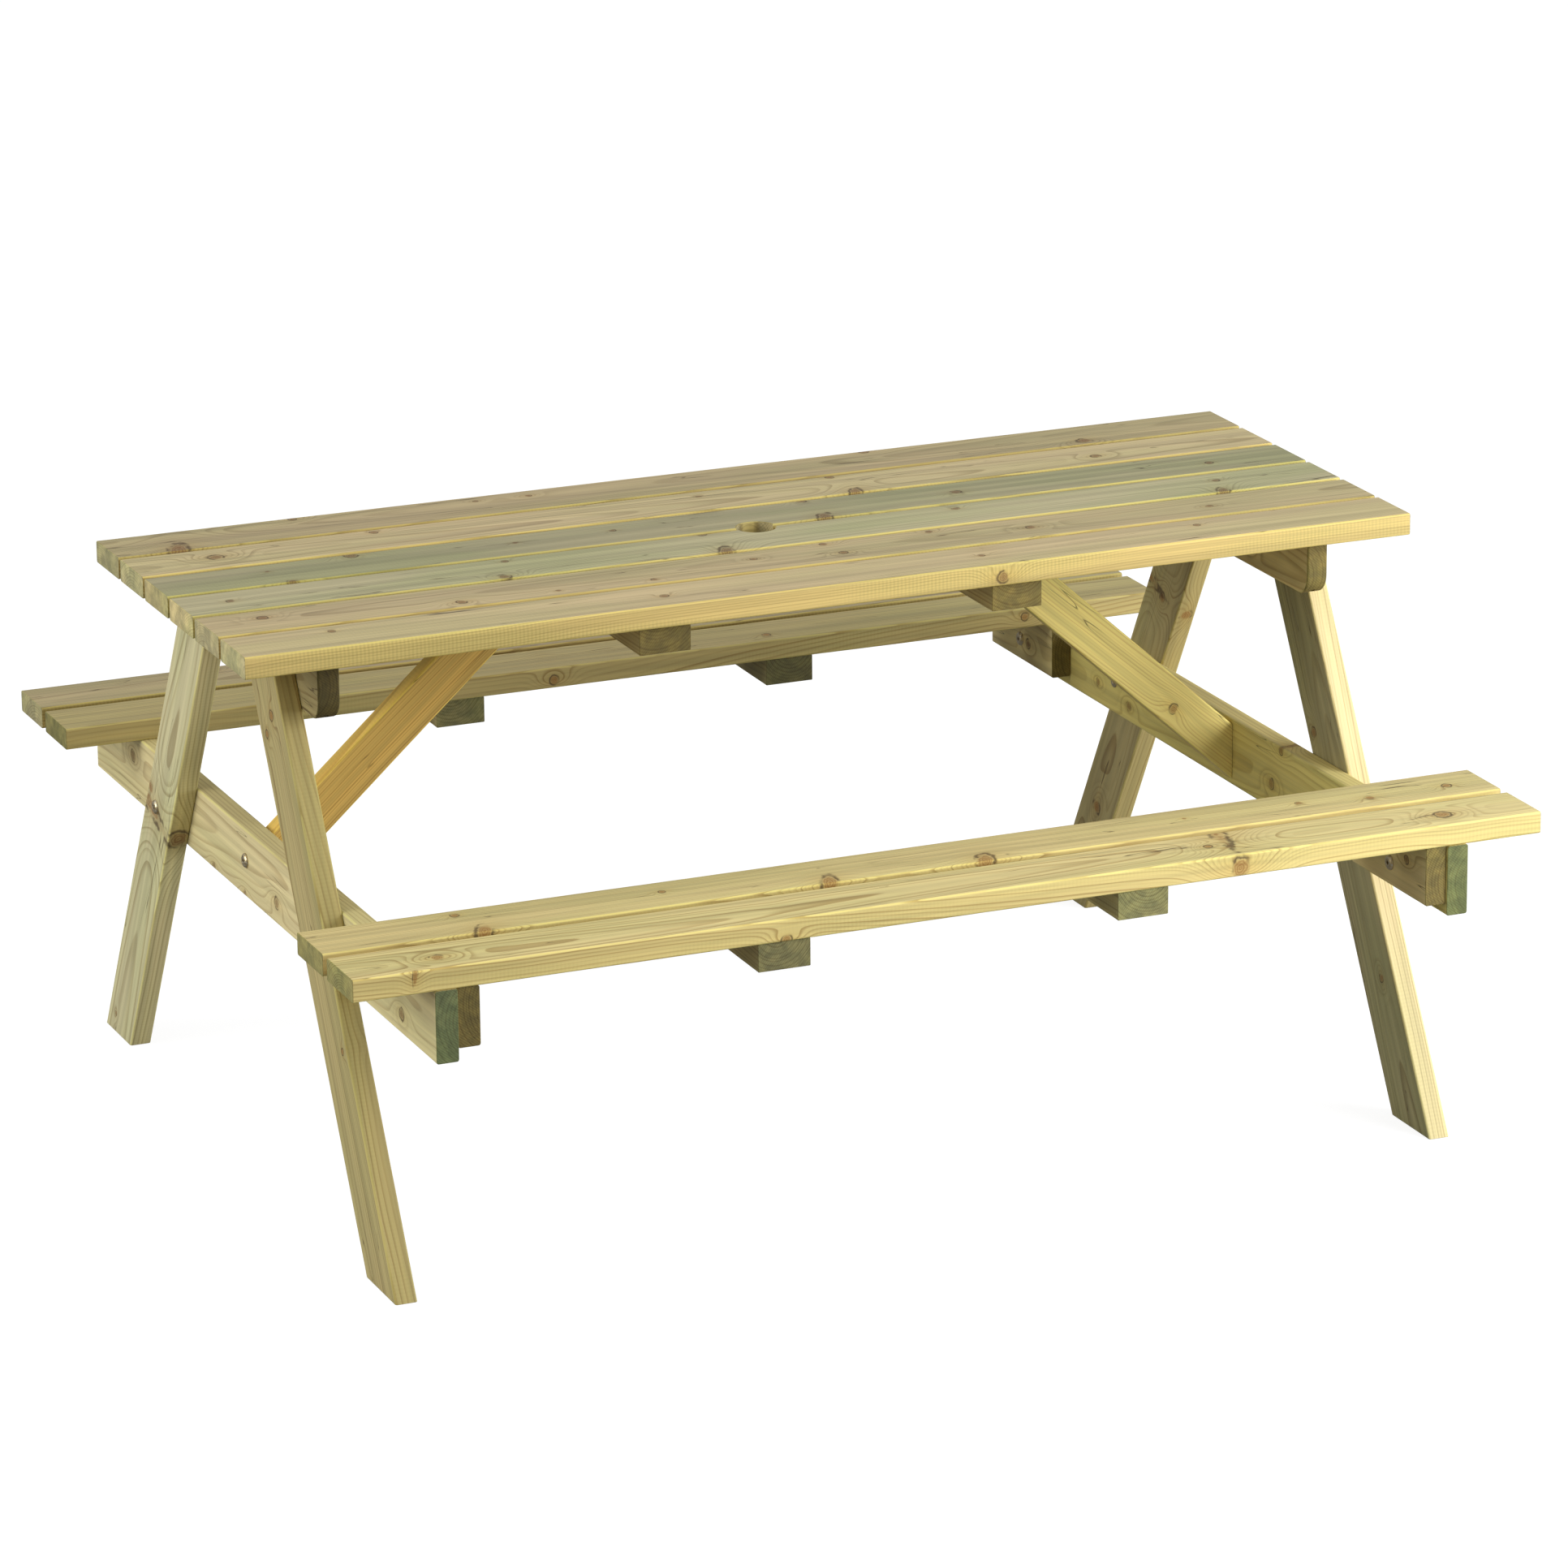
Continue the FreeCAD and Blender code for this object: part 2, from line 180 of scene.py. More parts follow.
def grey(tree, value):
    """A number as a colour."""
    return add(tree, "ShaderNodeCombineXYZ", {0: value, 1: value, 2: value}).outputs[0]


def stretched(tree, position, along, across, offset):
    """The position with its grain direction and its cross directions scaled, and a seed added."""
    scaled = vector_maths(tree, "MULTIPLY", position, (along, across, across))
    shift = vector_maths(tree, "SCALE", (3.7, 5.3, 7.9), offset)
    return vector_maths(tree, "ADD", scaled, shift)


def add_inputs(tree, inputs):
    """Named inputs. The default also says the kind: a number, three for a vector, four for a colour."""
    for label, default in inputs.items():
        kind = {int: "Int", float: "Float"}.get(type(default)) or {3: "Vector", 4: "Color"}[len(default)]
        socket = tree.interface.new_socket(label, in_out="INPUT", socket_type="NodeSocket" + kind)
        socket.default_value = default


def new_group(name, inputs, outputs):
    """An empty shader group with named inputs and outputs."""
    group = bpy.data.node_groups.new(name, "ShaderNodeTree")
    add_inputs(group, inputs)
    for label in outputs:
        kind = "Color" if label == "Color" else "Float"
        group.interface.new_socket(label, in_out="OUTPUT", socket_type="NodeSocket" + kind)
    entry = group.nodes.new("NodeGroupInput").outputs
    leave = group.nodes.new("NodeGroupOutput").inputs
    return group, entry, leave


def put_out(group, leave, results):
    """Links a group's results to its named outputs."""
    for label, value in results.items():
        group.links.new(value, leave[label])


def use_group(tree, group, **values):
    """Places a group; underscores in the names stand for spaces."""
    inputs = {name.replace("_", " "): value for name, value in values.items()}
    return add(tree, "ShaderNodeGroup", inputs, node_tree=group).outputs


print("shader helpers ready")

# %% Floor and lamps
FLOOR_SIZE = 60.0
FLOOR_GREY = 0.22
FLOOR_GLOW = 0.88
WHITE = (1, 1, 1, 1)


def floor_material():
    """Matt grey to the light, and almost white to the eye, with a faint contact shadow."""
    material = bpy.data.materials.new("floor white")
    material.use_nodes = True
    tree = material.node_tree
    shader = tree.nodes["Principled BSDF"]
    shader.inputs["Base Color"].default_value = (FLOOR_GREY, FLOOR_GREY, FLOOR_GREY, 1)
    shader.inputs["Roughness"].default_value = 0.9
    shader.inputs["Specular IOR Level"].default_value = 0.0
    seen = add(tree, "ShaderNodeLightPath").outputs["Is Camera Ray"]
    shader.inputs["Emission Color"].default_value = WHITE
    tree.links.new(times(tree, seen, FLOOR_GLOW), shader.inputs["Emission Strength"])
    return material


def make_floor():
    bpy.ops.mesh.primitive_plane_add(size=FLOOR_SIZE, location=(0, 0, cad_box[0][2]))
    floor = bpy.context.object
    floor.name = "floor"
    floor.data.materials.append(floor_material())


def make_lamp(name, azimuth, elevation, distance, size, power, tint):
    """A square soft lamp that points at the middle of the table. Azimuth 0 is straight in front."""
    data = bpy.data.lights.new(name, "AREA")
    data.color = tint
    data.shape = "SQUARE"
    data.size = size
    data.energy = power
    lamp = bpy.data.objects.new(name, data)
    scene.collection.objects.link(lamp)
    side, up = math.radians(azimuth), math.radians(elevation)
    away = Vector((math.sin(side) * math.cos(up), -math.cos(side) * math.cos(up), math.sin(up)))
    lamp.location = VIEW_TARGET + away * distance
    lamp.rotation_euler = (-away).to_track_quat("-Z", "Y").to_euler()


def make_sky(low, high):
    """White to the eye. As a light it rises from low at the horizon to high overhead."""
    world = bpy.data.worlds.new("sky")
    scene.world = world
    world.use_nodes = True
    tree = world.node_tree
    direction = add(tree, "ShaderNodeTexCoord").outputs["Generated"]
    up = add(tree, "ShaderNodeSeparateXYZ", {0: direction}).outputs["Z"]
    light = ramp(tree, up, 0.0, 0.9, low, high)
    seen = add(tree, "ShaderNodeLightPath").outputs["Is Camera Ray"]
    strength = maths(tree, "MAXIMUM", light, seen)
    tree.links.new(strength, tree.nodes["Background"].inputs["Strength"])
    tree.nodes["Background"].inputs["Color"].default_value = WHITE


make_floor()
make_lamp("key lamp", azimuth=46, elevation=15, distance=3.3, size=2.2, power=113, tint=(0.96, 1.0, 1.09))
make_lamp("fill lamp", azimuth=-92, elevation=16, distance=4.5, size=2.2, power=92, tint=(1.0, 1.0, 0.97))
make_sky(low=0.34, high=0.74)
scene.view_settings.view_transform = "Standard"
print("floor, two lamps and a white sky")

# %% [markdown]
# ## The growth rings
#
# A board shows the rings of its tree cut open. The rings are cylinders about the pith, the
# middle of the trunk, so the plainest true recipe is the distance from a pith line: it gives
# arches on a flat-sawn face, fine straight lines on an edge and arcs on the end grain, all from
# one number. A flat image could never turn the corner like that. Noise that is stretched along
# the grain bends the rings, and each knot pushes them aside.
#
# The shader trees add and multiply a great deal, so helpers above make a sum or a product of any
# length from one call.

# %% Growth ring group
PITH_DRIFT = 0.05
UNEVEN_SCALE = 130.0


def make_ring_group():
    group, entry, leave = new_group("growth rings", {
        "Position": (0, 0, 0), "Pith Y": 0.0, "Pith Z": -0.05, "Ring Width": 0.003, "Wander": 0.004,
        "Taper": 0.012, "Push": 0.0, "Seed": 0.0,
    }, ["Late Wood"])
    position, seed = entry["Position"], entry["Seed"]
    axes = add(group, "ShaderNodeSeparateXYZ", {0: position}).outputs
    slow = noise(group, stretched(group, position, 1.3, 0.0, seed), 1.0, 1.0)
    drift = times(group, minus(group, slow, 0.5), PITH_DRIFT)
    y = plus(group, minus(group, axes["Y"], entry["Pith Y"]), drift)
    z = minus(group, axes["Z"], entry["Pith Z"])
    radius = maths(group, "SQRT", plus(group, times(group, y, y), times(group, z, z)))
    bend = noise(group, stretched(group, position, 2.6, 13.0, seed), 1.0, 2.0, 0.45)
    bend = times(group, minus(group, bend, 0.5), entry["Wander"], 2.0)
    cone = times(group, axes["X"], entry["Taper"])
    total = plus(group, radius, bend, cone, entry["Push"])
    place = add(group, "ShaderNodeCombineXYZ", {0: total, 1: seed}).outputs[0]
    uneven = noise(group, place, UNEVEN_SCALE, 1.0)
    phase = plus(group, maths(group, "DIVIDE", total, entry["Ring Width"]), uneven)
    within = maths(group, "FRACT", phase)
    rise = ramp(group, within, 0.42, 0.92)
    fall = ramp(group, within, 0.93, 1.0, 1.0, 0.0)
    which = maths(group, "FLOOR", phase)
    strength = add(group, "ShaderNodeTexWhiteNoise", {"W": which}, noise_dimensions="1D").outputs[0]
    late = times(group, rise, fall, ramp(group, strength, -0.4, 1.0))
    put_out(group, leave, {"Late Wood": late})
    return group


rings = make_ring_group()
print("ring group:", len(rings.nodes), "nodes")

# %% [markdown]
# ## Knots
#
# A knot is a branch that the trunk grew around. Seen on a face it is a small round plug of
# darker, harder wood with rings of its own and often a patchy line of bark, and the rings of the
# trunk swerve round it like water round a stone. The group below gives the plug, the bark line,
# the warm halo and the push. A board's knots are chained, one group after the other. The noise
# that roughens their outlines and breaks up their bark is made once for the whole board.

# %% Knot group
OUTLINE_WOBBLE = 0.7
OWN_RINGS = 21.0
LONG_SWIRL = (0.50, 1.0, 1.0)
PUSH_FADE = -0.22
HALO_FADE = -0.5


def make_knot_group():
    group, entry, leave = new_group("knot", {
        "Position": (0, 0, 0), "Centre": (0, 0, 0), "Branch": (0, 0, 1), "Size": 0.01, "Swirl": 1.0,
        "Rough": 0.0, "Patch": 0.0, "Push In": 0.0, "Core In": 0.0, "Bark In": 0.0, "Halo In": 0.0,
    }, ["Push", "Core", "Bark", "Halo"])
    size, branch = entry["Size"], entry["Branch"]
    offset = vector_maths(group, "SUBTRACT", entry["Position"], entry["Centre"])
    depth = vector_maths(group, "DOT_PRODUCT", offset, branch)
    sideways = vector_maths(group, "SUBTRACT", offset, vector_maths(group, "SCALE", branch, depth))
    distance = maths(group, "DIVIDE", vector_maths(group, "LENGTH", sideways), size)
    distance = plus(group, distance, times(group, entry["Rough"], OUTLINE_WOBBLE))
    own_rings = maths(group, "SINE", times(group, distance, OWN_RINGS))
    core = times(group, ramp(group, distance, 0.55, 1.15, 1.0, 0.0),
                 plus(group, 0.78, times(group, own_rings, 0.22)))
    bark = times(group, ramp(group, distance, 0.80, 1.05), ramp(group, distance, 1.10, 1.45, 1.0, 0.0),
                 entry["Patch"])
    long = vector_maths(group, "MULTIPLY", sideways, LONG_SWIRL)
    spread = maths(group, "DIVIDE", vector_maths(group, "LENGTH", long), size)
    squared = maths(group, "POWER", spread, 2.0)
    bell = maths(group, "EXPONENT", times(group, squared, PUSH_FADE))
    push = times(group, bell, size, entry["Swirl"])
    halo = maths(group, "EXPONENT", times(group, squared, HALO_FADE))
    put_out(group, leave, {
        "Push": plus(group, push, entry["Push In"]),
        "Core": maths(group, "MAXIMUM", core, entry["Core In"]),
        "Bark": maths(group, "MAXIMUM", bark, entry["Bark In"]),
        "Halo": maths(group, "MAXIMUM", halo, entry["Halo In"]),
    })
    return group


knot = make_knot_group()
print("knot group:", len(knot.nodes), "nodes")

# %% [markdown]
# ## The colour of treated pine
#
# Fresh pine is cream between the rings and tan in them. Pressure treatment adds copper salts,
# which leave a green cast in streaks and turn the thirsty end grain green to teal. The wide faces,
# the narrow edges and the rounded arrises between them each have a tint, the arrises the palest.
# The tints are partly the timber's own colour, the edges mostly yellower than the faces, and partly
# painted light and shade on those sides. Each is one tint, multiplied over the grain so that the
# grain stays visible through it. A planer also leaves a fine ripple across the board, strongest
# on the edges, which shows as faint light and dark bars. The height for the bump is made of
# fibres, rings that stand a little proud, that ripple, saw marks and fine drying cracks.

# %% Pine finish group
WARM_HALO = (0.86, 0.74, 0.56, 1)
PALE_ARRIS = (1.12, 1.17, 1.06, 1)
GREEN_CAST = (0.84, 0.93, 0.82, 1)
BARK_COLOUR = (0.07, 0.038, 0.018, 1)
CRACK_COLOUR = (0.06, 0.035, 0.015, 1)
PALE_END = (1.5, 1.45, 1.35, 1)
RIM_SHADE = (0.42, 0.38, 0.32, 1)
# Waves in radians per metre, then heights and depths in metres.
RIPPLE_PITCH = 1250.0
SAW_SLANT = (1900.0, 1500.0)
FIBRE_HEIGHT = 0.00010
RING_HEIGHT = 0.00010
RIPPLE_HEIGHT = 0.000035
SAW_HEIGHT = 0.00004
CRACK_DEPTH = 0.0005
BARK_DEPTH = 0.0003


def make_pine_group():
    group, entry, leave = new_group("treated pine", {
        "Position": (0, 0, 0), "Late Wood": 0.0, "Core": 0.0, "Bark": 0.0, "Halo": 0.0, "Wide": 1.0,
        "End": 0.0, "Early Colour": (0.7, 0.55, 0.3, 1), "Late Colour": (0.5, 0.33, 0.13, 1),
        "Knot Colour": (0.30, 0.13, 0.04, 1), "Face Tint": (1, 1, 1, 1), "Edge Tint": (1, 1, 1, 1),
        "End Tint": (0.5, 0.6, 0.4, 1), "Green": 0.3, "Ripple": 0.02, "Contrast": 0.7, "Seed": 0.0,
    }, ["Color", "Roughness", "Height"])
    position, seed = entry["Position"], entry["Seed"]
    end, late, wide = entry["End"], entry["Late Wood"], entry["Wide"]
    long_grain = minus(group, 1.0, end)
    fibre = noise(group, stretched(group, position, 14.0, 650.0, seed), 1.0, 2.0, 0.6)
    streak = noise(group, stretched(group, position, 1.5, 85.0, seed), 1.0, 3.0, 0.55)
    blotch = noise(group, stretched(group, position, 2.4, 13.0, seed), 1.0, 3.0, 0.5)

    # The rings, the streaks between them and the warm wood round a knot.
    colour = blend(group, times(group, late, entry["Contrast"]), entry["Early Colour"], entry["Late Colour"])
    tone = plus(group, ramp(group, streak, 0.28, 0.72, 0.82, 1.09),
                times(group, minus(group, fibre, 0.5), 0.16))
    colour = tinted(group, colour, grey(group, tone))
    colour = blend(group, times(group, entry["Halo"], 0.55), colour, tinted(group, colour, WARM_HALO))

    # The tints of the faces, the edges and the arrises, partly painted light and shade, and the green cast.
    face = tinted(group, colour, entry["Face Tint"])
    edge = tinted(group, colour, entry["Edge Tint"])
    colour = blend(group, ramp(group, wide, 0.90, 0.999), edge, face)
    arris = times(group, ramp(group, wide, 0.15, 0.50), ramp(group, wide, 0.92, 0.999, 1.0, 0.0))
    colour = blend(group, arris, colour, tinted(group, colour, PALE_ARRIS))
    green = times(group, ramp(group, blotch, 0.38, 0.66), entry["Green"])
    colour = blend(group, green, colour, tinted(group, colour, GREEN_CAST))

    # Knots, and cracks on the wide faces only.
    colour = blend(group, times(group, entry["Core"], 0.82), colour, entry["Knot Colour"])
    colour = blend(group, times(group, entry["Bark"], 0.78), colour, BARK_COLOUR)
    crack_noise = noise(group, stretched(group, position, 4.0, 75.0, seed), 1.0, 1.0)
    crack = ramp(group, maths(group, "ABSOLUTE", minus(group, crack_noise, 0.5)), 0.0, 0.010, 1.0, 0.0)
    where = noise(group, stretched(group, position, 5.0, 24.0, seed), 1.3, 1.0)
    crack = times(group, crack, ramp(group, where, 0.54, 0.61), long_grain, ramp(group, wide, 0.6, 0.95))
    colour = blend(group, times(group, crack, 0.7), colour, CRACK_COLOUR)

    # End grain, with saw marks, pale dry patches and a dark rim.
    axes = add(group, "ShaderNodeSeparateXYZ", {0: position}).outputs
    slant = plus(group, times(group, axes["Y"], SAW_SLANT[0]), times(group, axes["Z"], SAW_SLANT[1]))
    saw = maths(group, "SINE", plus(group, slant, times(group, blotch, 9.0)))
    soak = plus(group, noise(group, position, 55.0, 3.0, 0.6), times(group, saw, 0.07))
    end_colour = tinted(group, colour, entry["End Tint"])
    end_colour = blend(group, ramp(group, soak, 0.35, 0.70), end_colour, tinted(group, end_colour, PALE_END))
    colour = blend(group, end, colour, end_colour)
    rim = times(group, end, long_grain, 2.6)
    colour = blend(group, rim, colour, tinted(group, colour, RIM_SHADE))

    # Planer ripple, weaker on the wide faces.
    ripple = maths(group, "SINE", plus(group, times(group, axes["X"], RIPPLE_PITCH), times(group, streak, 2.5)))
    ripple = times(group, ripple, ramp(group, wide, 0.1, 0.6, 1.0, 0.25), ramp(group, blotch, 0.40, 0.60),
                   long_grain)
    light = plus(group, 1.0, times(group, ripple, entry["Ripple"]))
    colour = tinted(group, colour, grey(group, light))

    roughness = plus(group, ramp(group, streak, 0.3, 0.7, 0.58, 0.72), times(group, late, -0.08),
                     times(group, end, 0.15))
    height = plus(group, times(group, fibre, FIBRE_HEIGHT), times(group, late, RING_HEIGHT),
                  times(group, ripple, RIPPLE_HEIGHT), times(group, saw, end, SAW_HEIGHT),
                  times(group, crack, -CRACK_DEPTH), times(group, entry["Bark"], -BARK_DEPTH))
    put_out(group, leave, {"Color": colour, "Roughness": roughness, "Height": height})
    return group


pine = make_pine_group()
print("pine group:", len(pine.nodes), "nodes")

# %% [markdown]
# ## One board, one material
#
# Every board has its own material, because its knots and its place in the tree are its own.
# The material reads the board's own coordinates from an attribute called grain: X runs along the
# board, Y across its width and Z through its thickness, all in metres from the board's middle.
# Boards from one stock share their tints, and each has a tone, lighter or darker, of its own.
# The tone is partly painted shade: boards that stand in shade have darker tones.

# %% Board material


def rgb(*channels):
    """A display colour, 0 to 255, as the linear colour that shaders use."""
    def linear(value):
        value = value / 255
        return value / 12.92 if value <= 0.04045 else ((value + 0.055) / 1.055) ** 2.4
    return tuple(linear(channel) for channel in channels) + (1.0,)


# The way a branch ran: out through the face, out through the edge, or aslant under the face.
BRANCH_DIRECTIONS = {"face": (0.10, 0.25, 0.96), "edge": (0.1, 0.99, 0.1), "spike": (0.28, 0.86, 0.43)}
KNOT_SWIRL = 2.4
BUMP_STRENGTH = 0.8
PINE_SHINE = 0.25

# Each stock's face and edge tints are partly its timber's own colour and partly painted light and shade for the
# sides they sit on.
STOCKS = {
    "grey": dict(early=rgb(203, 184, 140), late=rgb(152, 130, 92), face=(0.97, 0.96, 0.97, 1),
                 edge=(1.06, 0.97, 0.62, 1), end=(0.57, 0.69, 1.10, 1),
                 knot=rgb(122, 84, 50), green=0.60, ripple=0.07, contrast=0.62),
    "greenish": dict(early=rgb(186, 175, 136), late=rgb(138, 126, 92), face=(0.92, 0.94, 0.96, 1),
                     edge=(1.24, 1.12, 0.68, 1), end=(0.66, 0.71, 1.05, 1),
                     knot=rgb(112, 78, 48), green=0.85, ripple=0.07, contrast=0.55),
    # Pale's dark wide-face tint is painted shade.
    "pale": dict(early=rgb(220, 208, 164), late=rgb(164, 142, 98), face=(0.76, 0.78, 0.78, 1),
                 edge=(1.02, 0.97, 0.82, 1), end=(0.50, 0.58, 0.56, 1),
                 knot=rgb(140, 98, 56), green=0.55, ripple=0.02, contrast=0.62),
    # A copy of pale whose wide faces are darkened as painted shade, for the front right leg, whose inner face
    # stands in the shade of the table.
    "dun_painted_shade": dict(early=rgb(220, 208, 164), late=rgb(164, 142, 98), face=(0.62, 0.62, 0.54, 1),
                edge=(1.14, 1.03, 0.87, 1), end=(0.50, 0.58, 0.56, 1),
                knot=rgb(140, 98, 56), green=0.55, ripple=0.02, contrast=0.62),
    "yellow": dict(early=rgb(216, 199, 142), late=rgb(164, 134, 82), face=(0.98, 0.97, 0.93, 1),
                   edge=(1.04, 0.98, 0.78, 1), end=(0.34, 0.40, 0.42, 1),
                   knot=rgb(150, 102, 50), green=0.45, ripple=0.02, contrast=0.72),
    "orange": dict(early=rgb(218, 181, 98), late=rgb(156, 108, 48), face=(0.98, 0.95, 0.86, 1),
                   edge=(1.22, 1.25, 1.06, 1), end=(0.50, 0.52, 0.40, 1),
                   knot=rgb(140, 90, 44), green=0.10, ripple=0.02, contrast=0.70),
    "honey": dict(early=rgb(236, 214, 132), late=rgb(190, 148, 80), face=(0.95, 0.95, 0.85, 1),
                  edge=(1.0, 0.98, 0.90, 1), end=(0.50, 0.52, 0.40, 1),
                  knot=rgb(140, 98, 50), green=0.50, ripple=0.02, contrast=0.60),
    "teal": dict(early=rgb(220, 206, 156), late=rgb(168, 144, 98), face=(1.0, 0.98, 0.97, 1),
                 edge=(0.94, 0.92, 0.80, 1), end=(0.20, 0.27, 0.25, 1),
                 knot=rgb(120, 90, 58), green=0.45, ripple=0.02, contrast=0.50),
    "golden": dict(early=rgb(220, 204, 146), late=rgb(166, 138, 80), face=(1.02, 1.00, 0.66, 1),
                   edge=(0.96, 0.93, 0.76, 1), end=(0.21, 0.28, 0.27, 1),
                   knot=rgb(130, 94, 52), green=0.35, ripple=0.02, contrast=0.45),
    "moss": dict(early=rgb(208, 193, 144), late=rgb(156, 134, 90), face=(0.94, 0.92, 0.88, 1),
                 edge=(0.92, 0.90, 0.80, 1), end=(0.38, 0.42, 0.38, 1),
                 knot=rgb(112, 82, 50), green=0.50, ripple=0.02, contrast=0.70),
    "olive": dict(early=rgb(214, 195, 142), late=rgb(160, 132, 84), face=(1.14, 1.12, 1.02, 1),
                  edge=(0.94, 0.92, 0.82, 1), end=(0.29, 0.28, 0.19, 1),
                  knot=rgb(120, 86, 50), green=0.35, ripple=0.02, contrast=0.65),
}


def toned(value, tone):
    """A colour made darker or lighter by a board's tone, which for some boards is painted shade."""
    return tuple(part * tone for part in value[:3]) + (1.0,)


def board_material(name, stock, tone, seed, pith, ring, wander, taper, knots):
    """The pine of one board. Pith, ring width, wander and knots are in millimetres."""
    look = STOCKS[stock]
    material = bpy.data.materials.new("pine " + name)
    material.use_nodes = True
    tree = material.node_tree
    shader = tree.nodes["Principled BSDF"]
    position = add(tree, "ShaderNodeAttribute", attribute_name="grain").outputs["Vector"]
    wide = add(tree, "ShaderNodeAttribute", attribute_name="wide").outputs["Fac"]
    end = add(tree, "ShaderNodeAttribute", attribute_name="end").outputs["Fac"]
    rough = minus(tree, noise(tree, position, 130.0, 3.0), 0.5)
    patch = ramp(tree, noise(tree, position, 55.0, 1.0), 0.38, 0.54)
    marks = {"Push": 0.0, "Core": 0.0, "Bark": 0.0, "Halo": 0.0}
    for x, y, z, size, side in knots:
        marks = use_group(tree, knot, Position=position, Centre=(x / 1000, y / 1000, z / 1000),
                          Branch=BRANCH_DIRECTIONS[side], Size=size / 1000, Swirl=KNOT_SWIRL,
                          Rough=rough, Patch=patch,
                          Push_In=marks["Push"], Core_In=marks["Core"],
                          Bark_In=marks["Bark"], Halo_In=marks["Halo"])
    grown = use_group(tree, rings, Position=position, Pith_Y=pith[0] / 1000, Pith_Z=pith[1] / 1000,
                      Ring_Width=ring / 1000, Wander=wander / 1000, Taper=taper, Push=marks["Push"],
                      Seed=seed)
    skin = use_group(tree, pine, Position=position, Late_Wood=grown["Late Wood"], Core=marks["Core"],
                     Bark=marks["Bark"], Halo=marks["Halo"], Wide=wide, End=end,
                     Early_Colour=toned(look["early"], tone), Late_Colour=toned(look["late"], tone),
                     Knot_Colour=look["knot"], Face_Tint=look["face"],
                     Edge_Tint=look["edge"], End_Tint=look["end"], Green=look["green"],
                     Ripple=look["ripple"], Contrast=look["contrast"], Seed=seed)
    bump = add(tree, "ShaderNodeBump", {"Height": skin["Height"], "Strength": BUMP_STRENGTH, "Distance": 1.0})
    tree.links.new(skin["Color"], shader.inputs["Base Color"])
    tree.links.new(skin["Roughness"], shader.inputs["Roughness"])
    tree.links.new(bump.outputs["Normal"], shader.inputs["Normal"])
    shader.inputs["Specular IOR Level"].default_value = PINE_SHINE
    return material


print("stocks of timber:", ", ".join(STOCKS))

# %% [markdown]
# ## The planed board as a rule
#
# A planed board is one rule: a rectangle with rounded corners, drawn along a straight line.
# Geometry Nodes say that in a few nodes, and the sizes stay open as named inputs, so the same
# tree makes a plank and a cleat. A little noise bows the board and dents its arrises, as on any
# stack at a timber yard.

# %% Board tree
STATION_GAP = 0.010


def make_board_tree():
    tree = bpy.data.node_groups.new("planed board", "GeometryNodeTree")
    add_inputs(tree, {"Length": 1.0, "Width": 0.089, "Thickness": 0.028, "Edge Radius": 0.003,
                      "Stations": 100, "Bow": 0.0006, "Wear": 0.0004, "Seed": 0.0})
    tree.interface.new_socket("Geometry", in_out="OUTPUT", socket_type="NodeSocketGeometry")
    entry = tree.nodes.new("NodeGroupInput").outputs
    seed = entry["Seed"]
    half = times(tree, entry["Length"], 0.5)
    start = add(tree, "ShaderNodeCombineXYZ", {0: times(tree, half, -1.0)}).outputs[0]
    finish = add(tree, "ShaderNodeCombineXYZ", {0: half}).outputs[0]
    line = add(tree, "GeometryNodeCurvePrimitiveLine", {"Start": start, "End": finish}).outputs[0]
    line = add(tree, "GeometryNodeResampleCurve", {"Curve": line, "Count": entry["Stations"]}).outputs[0]
    section = add(tree, "GeometryNodeCurvePrimitiveQuadrilateral",
                  {"Width": entry["Width"], "Height": entry["Thickness"]}).outputs[0]
    section = add(tree, "GeometryNodeFilletCurve",
                  {"Curve": section, "Radius": entry["Edge Radius"], "Count": 5}, mode="POLY").outputs[0]
    solid = add(tree, "GeometryNodeCurveToMesh",
                {"Curve": line, "Profile Curve": section, "Fill Caps": True}).outputs[0]
    place = add(tree, "GeometryNodeInputPosition").outputs[0]
    drift = add(tree, "ShaderNodeTexNoise", {"Vector": stretched(tree, place, 1.1, 0.0, seed), "Scale": 1.0,
                                             "Detail": 1.0}).outputs["Color"]
    bow = vector_maths(tree, "SUBTRACT", drift, (0.5, 0.5, 0.5))
    bow = vector_maths(tree, "MULTIPLY", vector_maths(tree, "SCALE", bow, entry["Bow"]), (0.0, 1.0, 1.0))
    dent = maths(tree, "POWER", noise(tree, stretched(tree, place, 28.0, 70.0, seed), 1.0, 2.0), 2.5)
    inward = vector_maths(tree, "SCALE", add(tree, "GeometryNodeInputNormal").outputs[0],
                          times(tree, dent, entry["Wear"], -1.0))
    moved = add(tree, "GeometryNodeSetPosition",
                {"Geometry": solid, "Offset": vector_maths(tree, "ADD", bow, inward)})
    leave = tree.nodes.new("NodeGroupOutput")
    tree.links.new(moved.outputs[0], leave.inputs[0])
    return tree


board_tree = make_board_tree()


def set_inputs(modifier, values):
    """Sets a Geometry Nodes modifier's named inputs by their sockets' identifiers."""
    for item in modifier.node_group.interface.items_tree:
        if item.item_type == "SOCKET" and item.in_out == "INPUT" and item.name in values:
            modifier[item.identifier] = values[item.name]


def evaluated_mesh(thing, name):
    """The object's shape after its modifiers, as a plain mesh."""
    graph = bpy.context.evaluated_depsgraph_get()
    mesh = bpy.data.meshes.new_from_object(thing.evaluated_get(graph), depsgraph=graph)
    mesh.name = name
    return mesh


def temporary(name, mesh):
    """An object for one step of the work, removed by its maker."""
    thing = bpy.data.objects.new(name, mesh)
    scene.collection.objects.link(thing)
    return thing


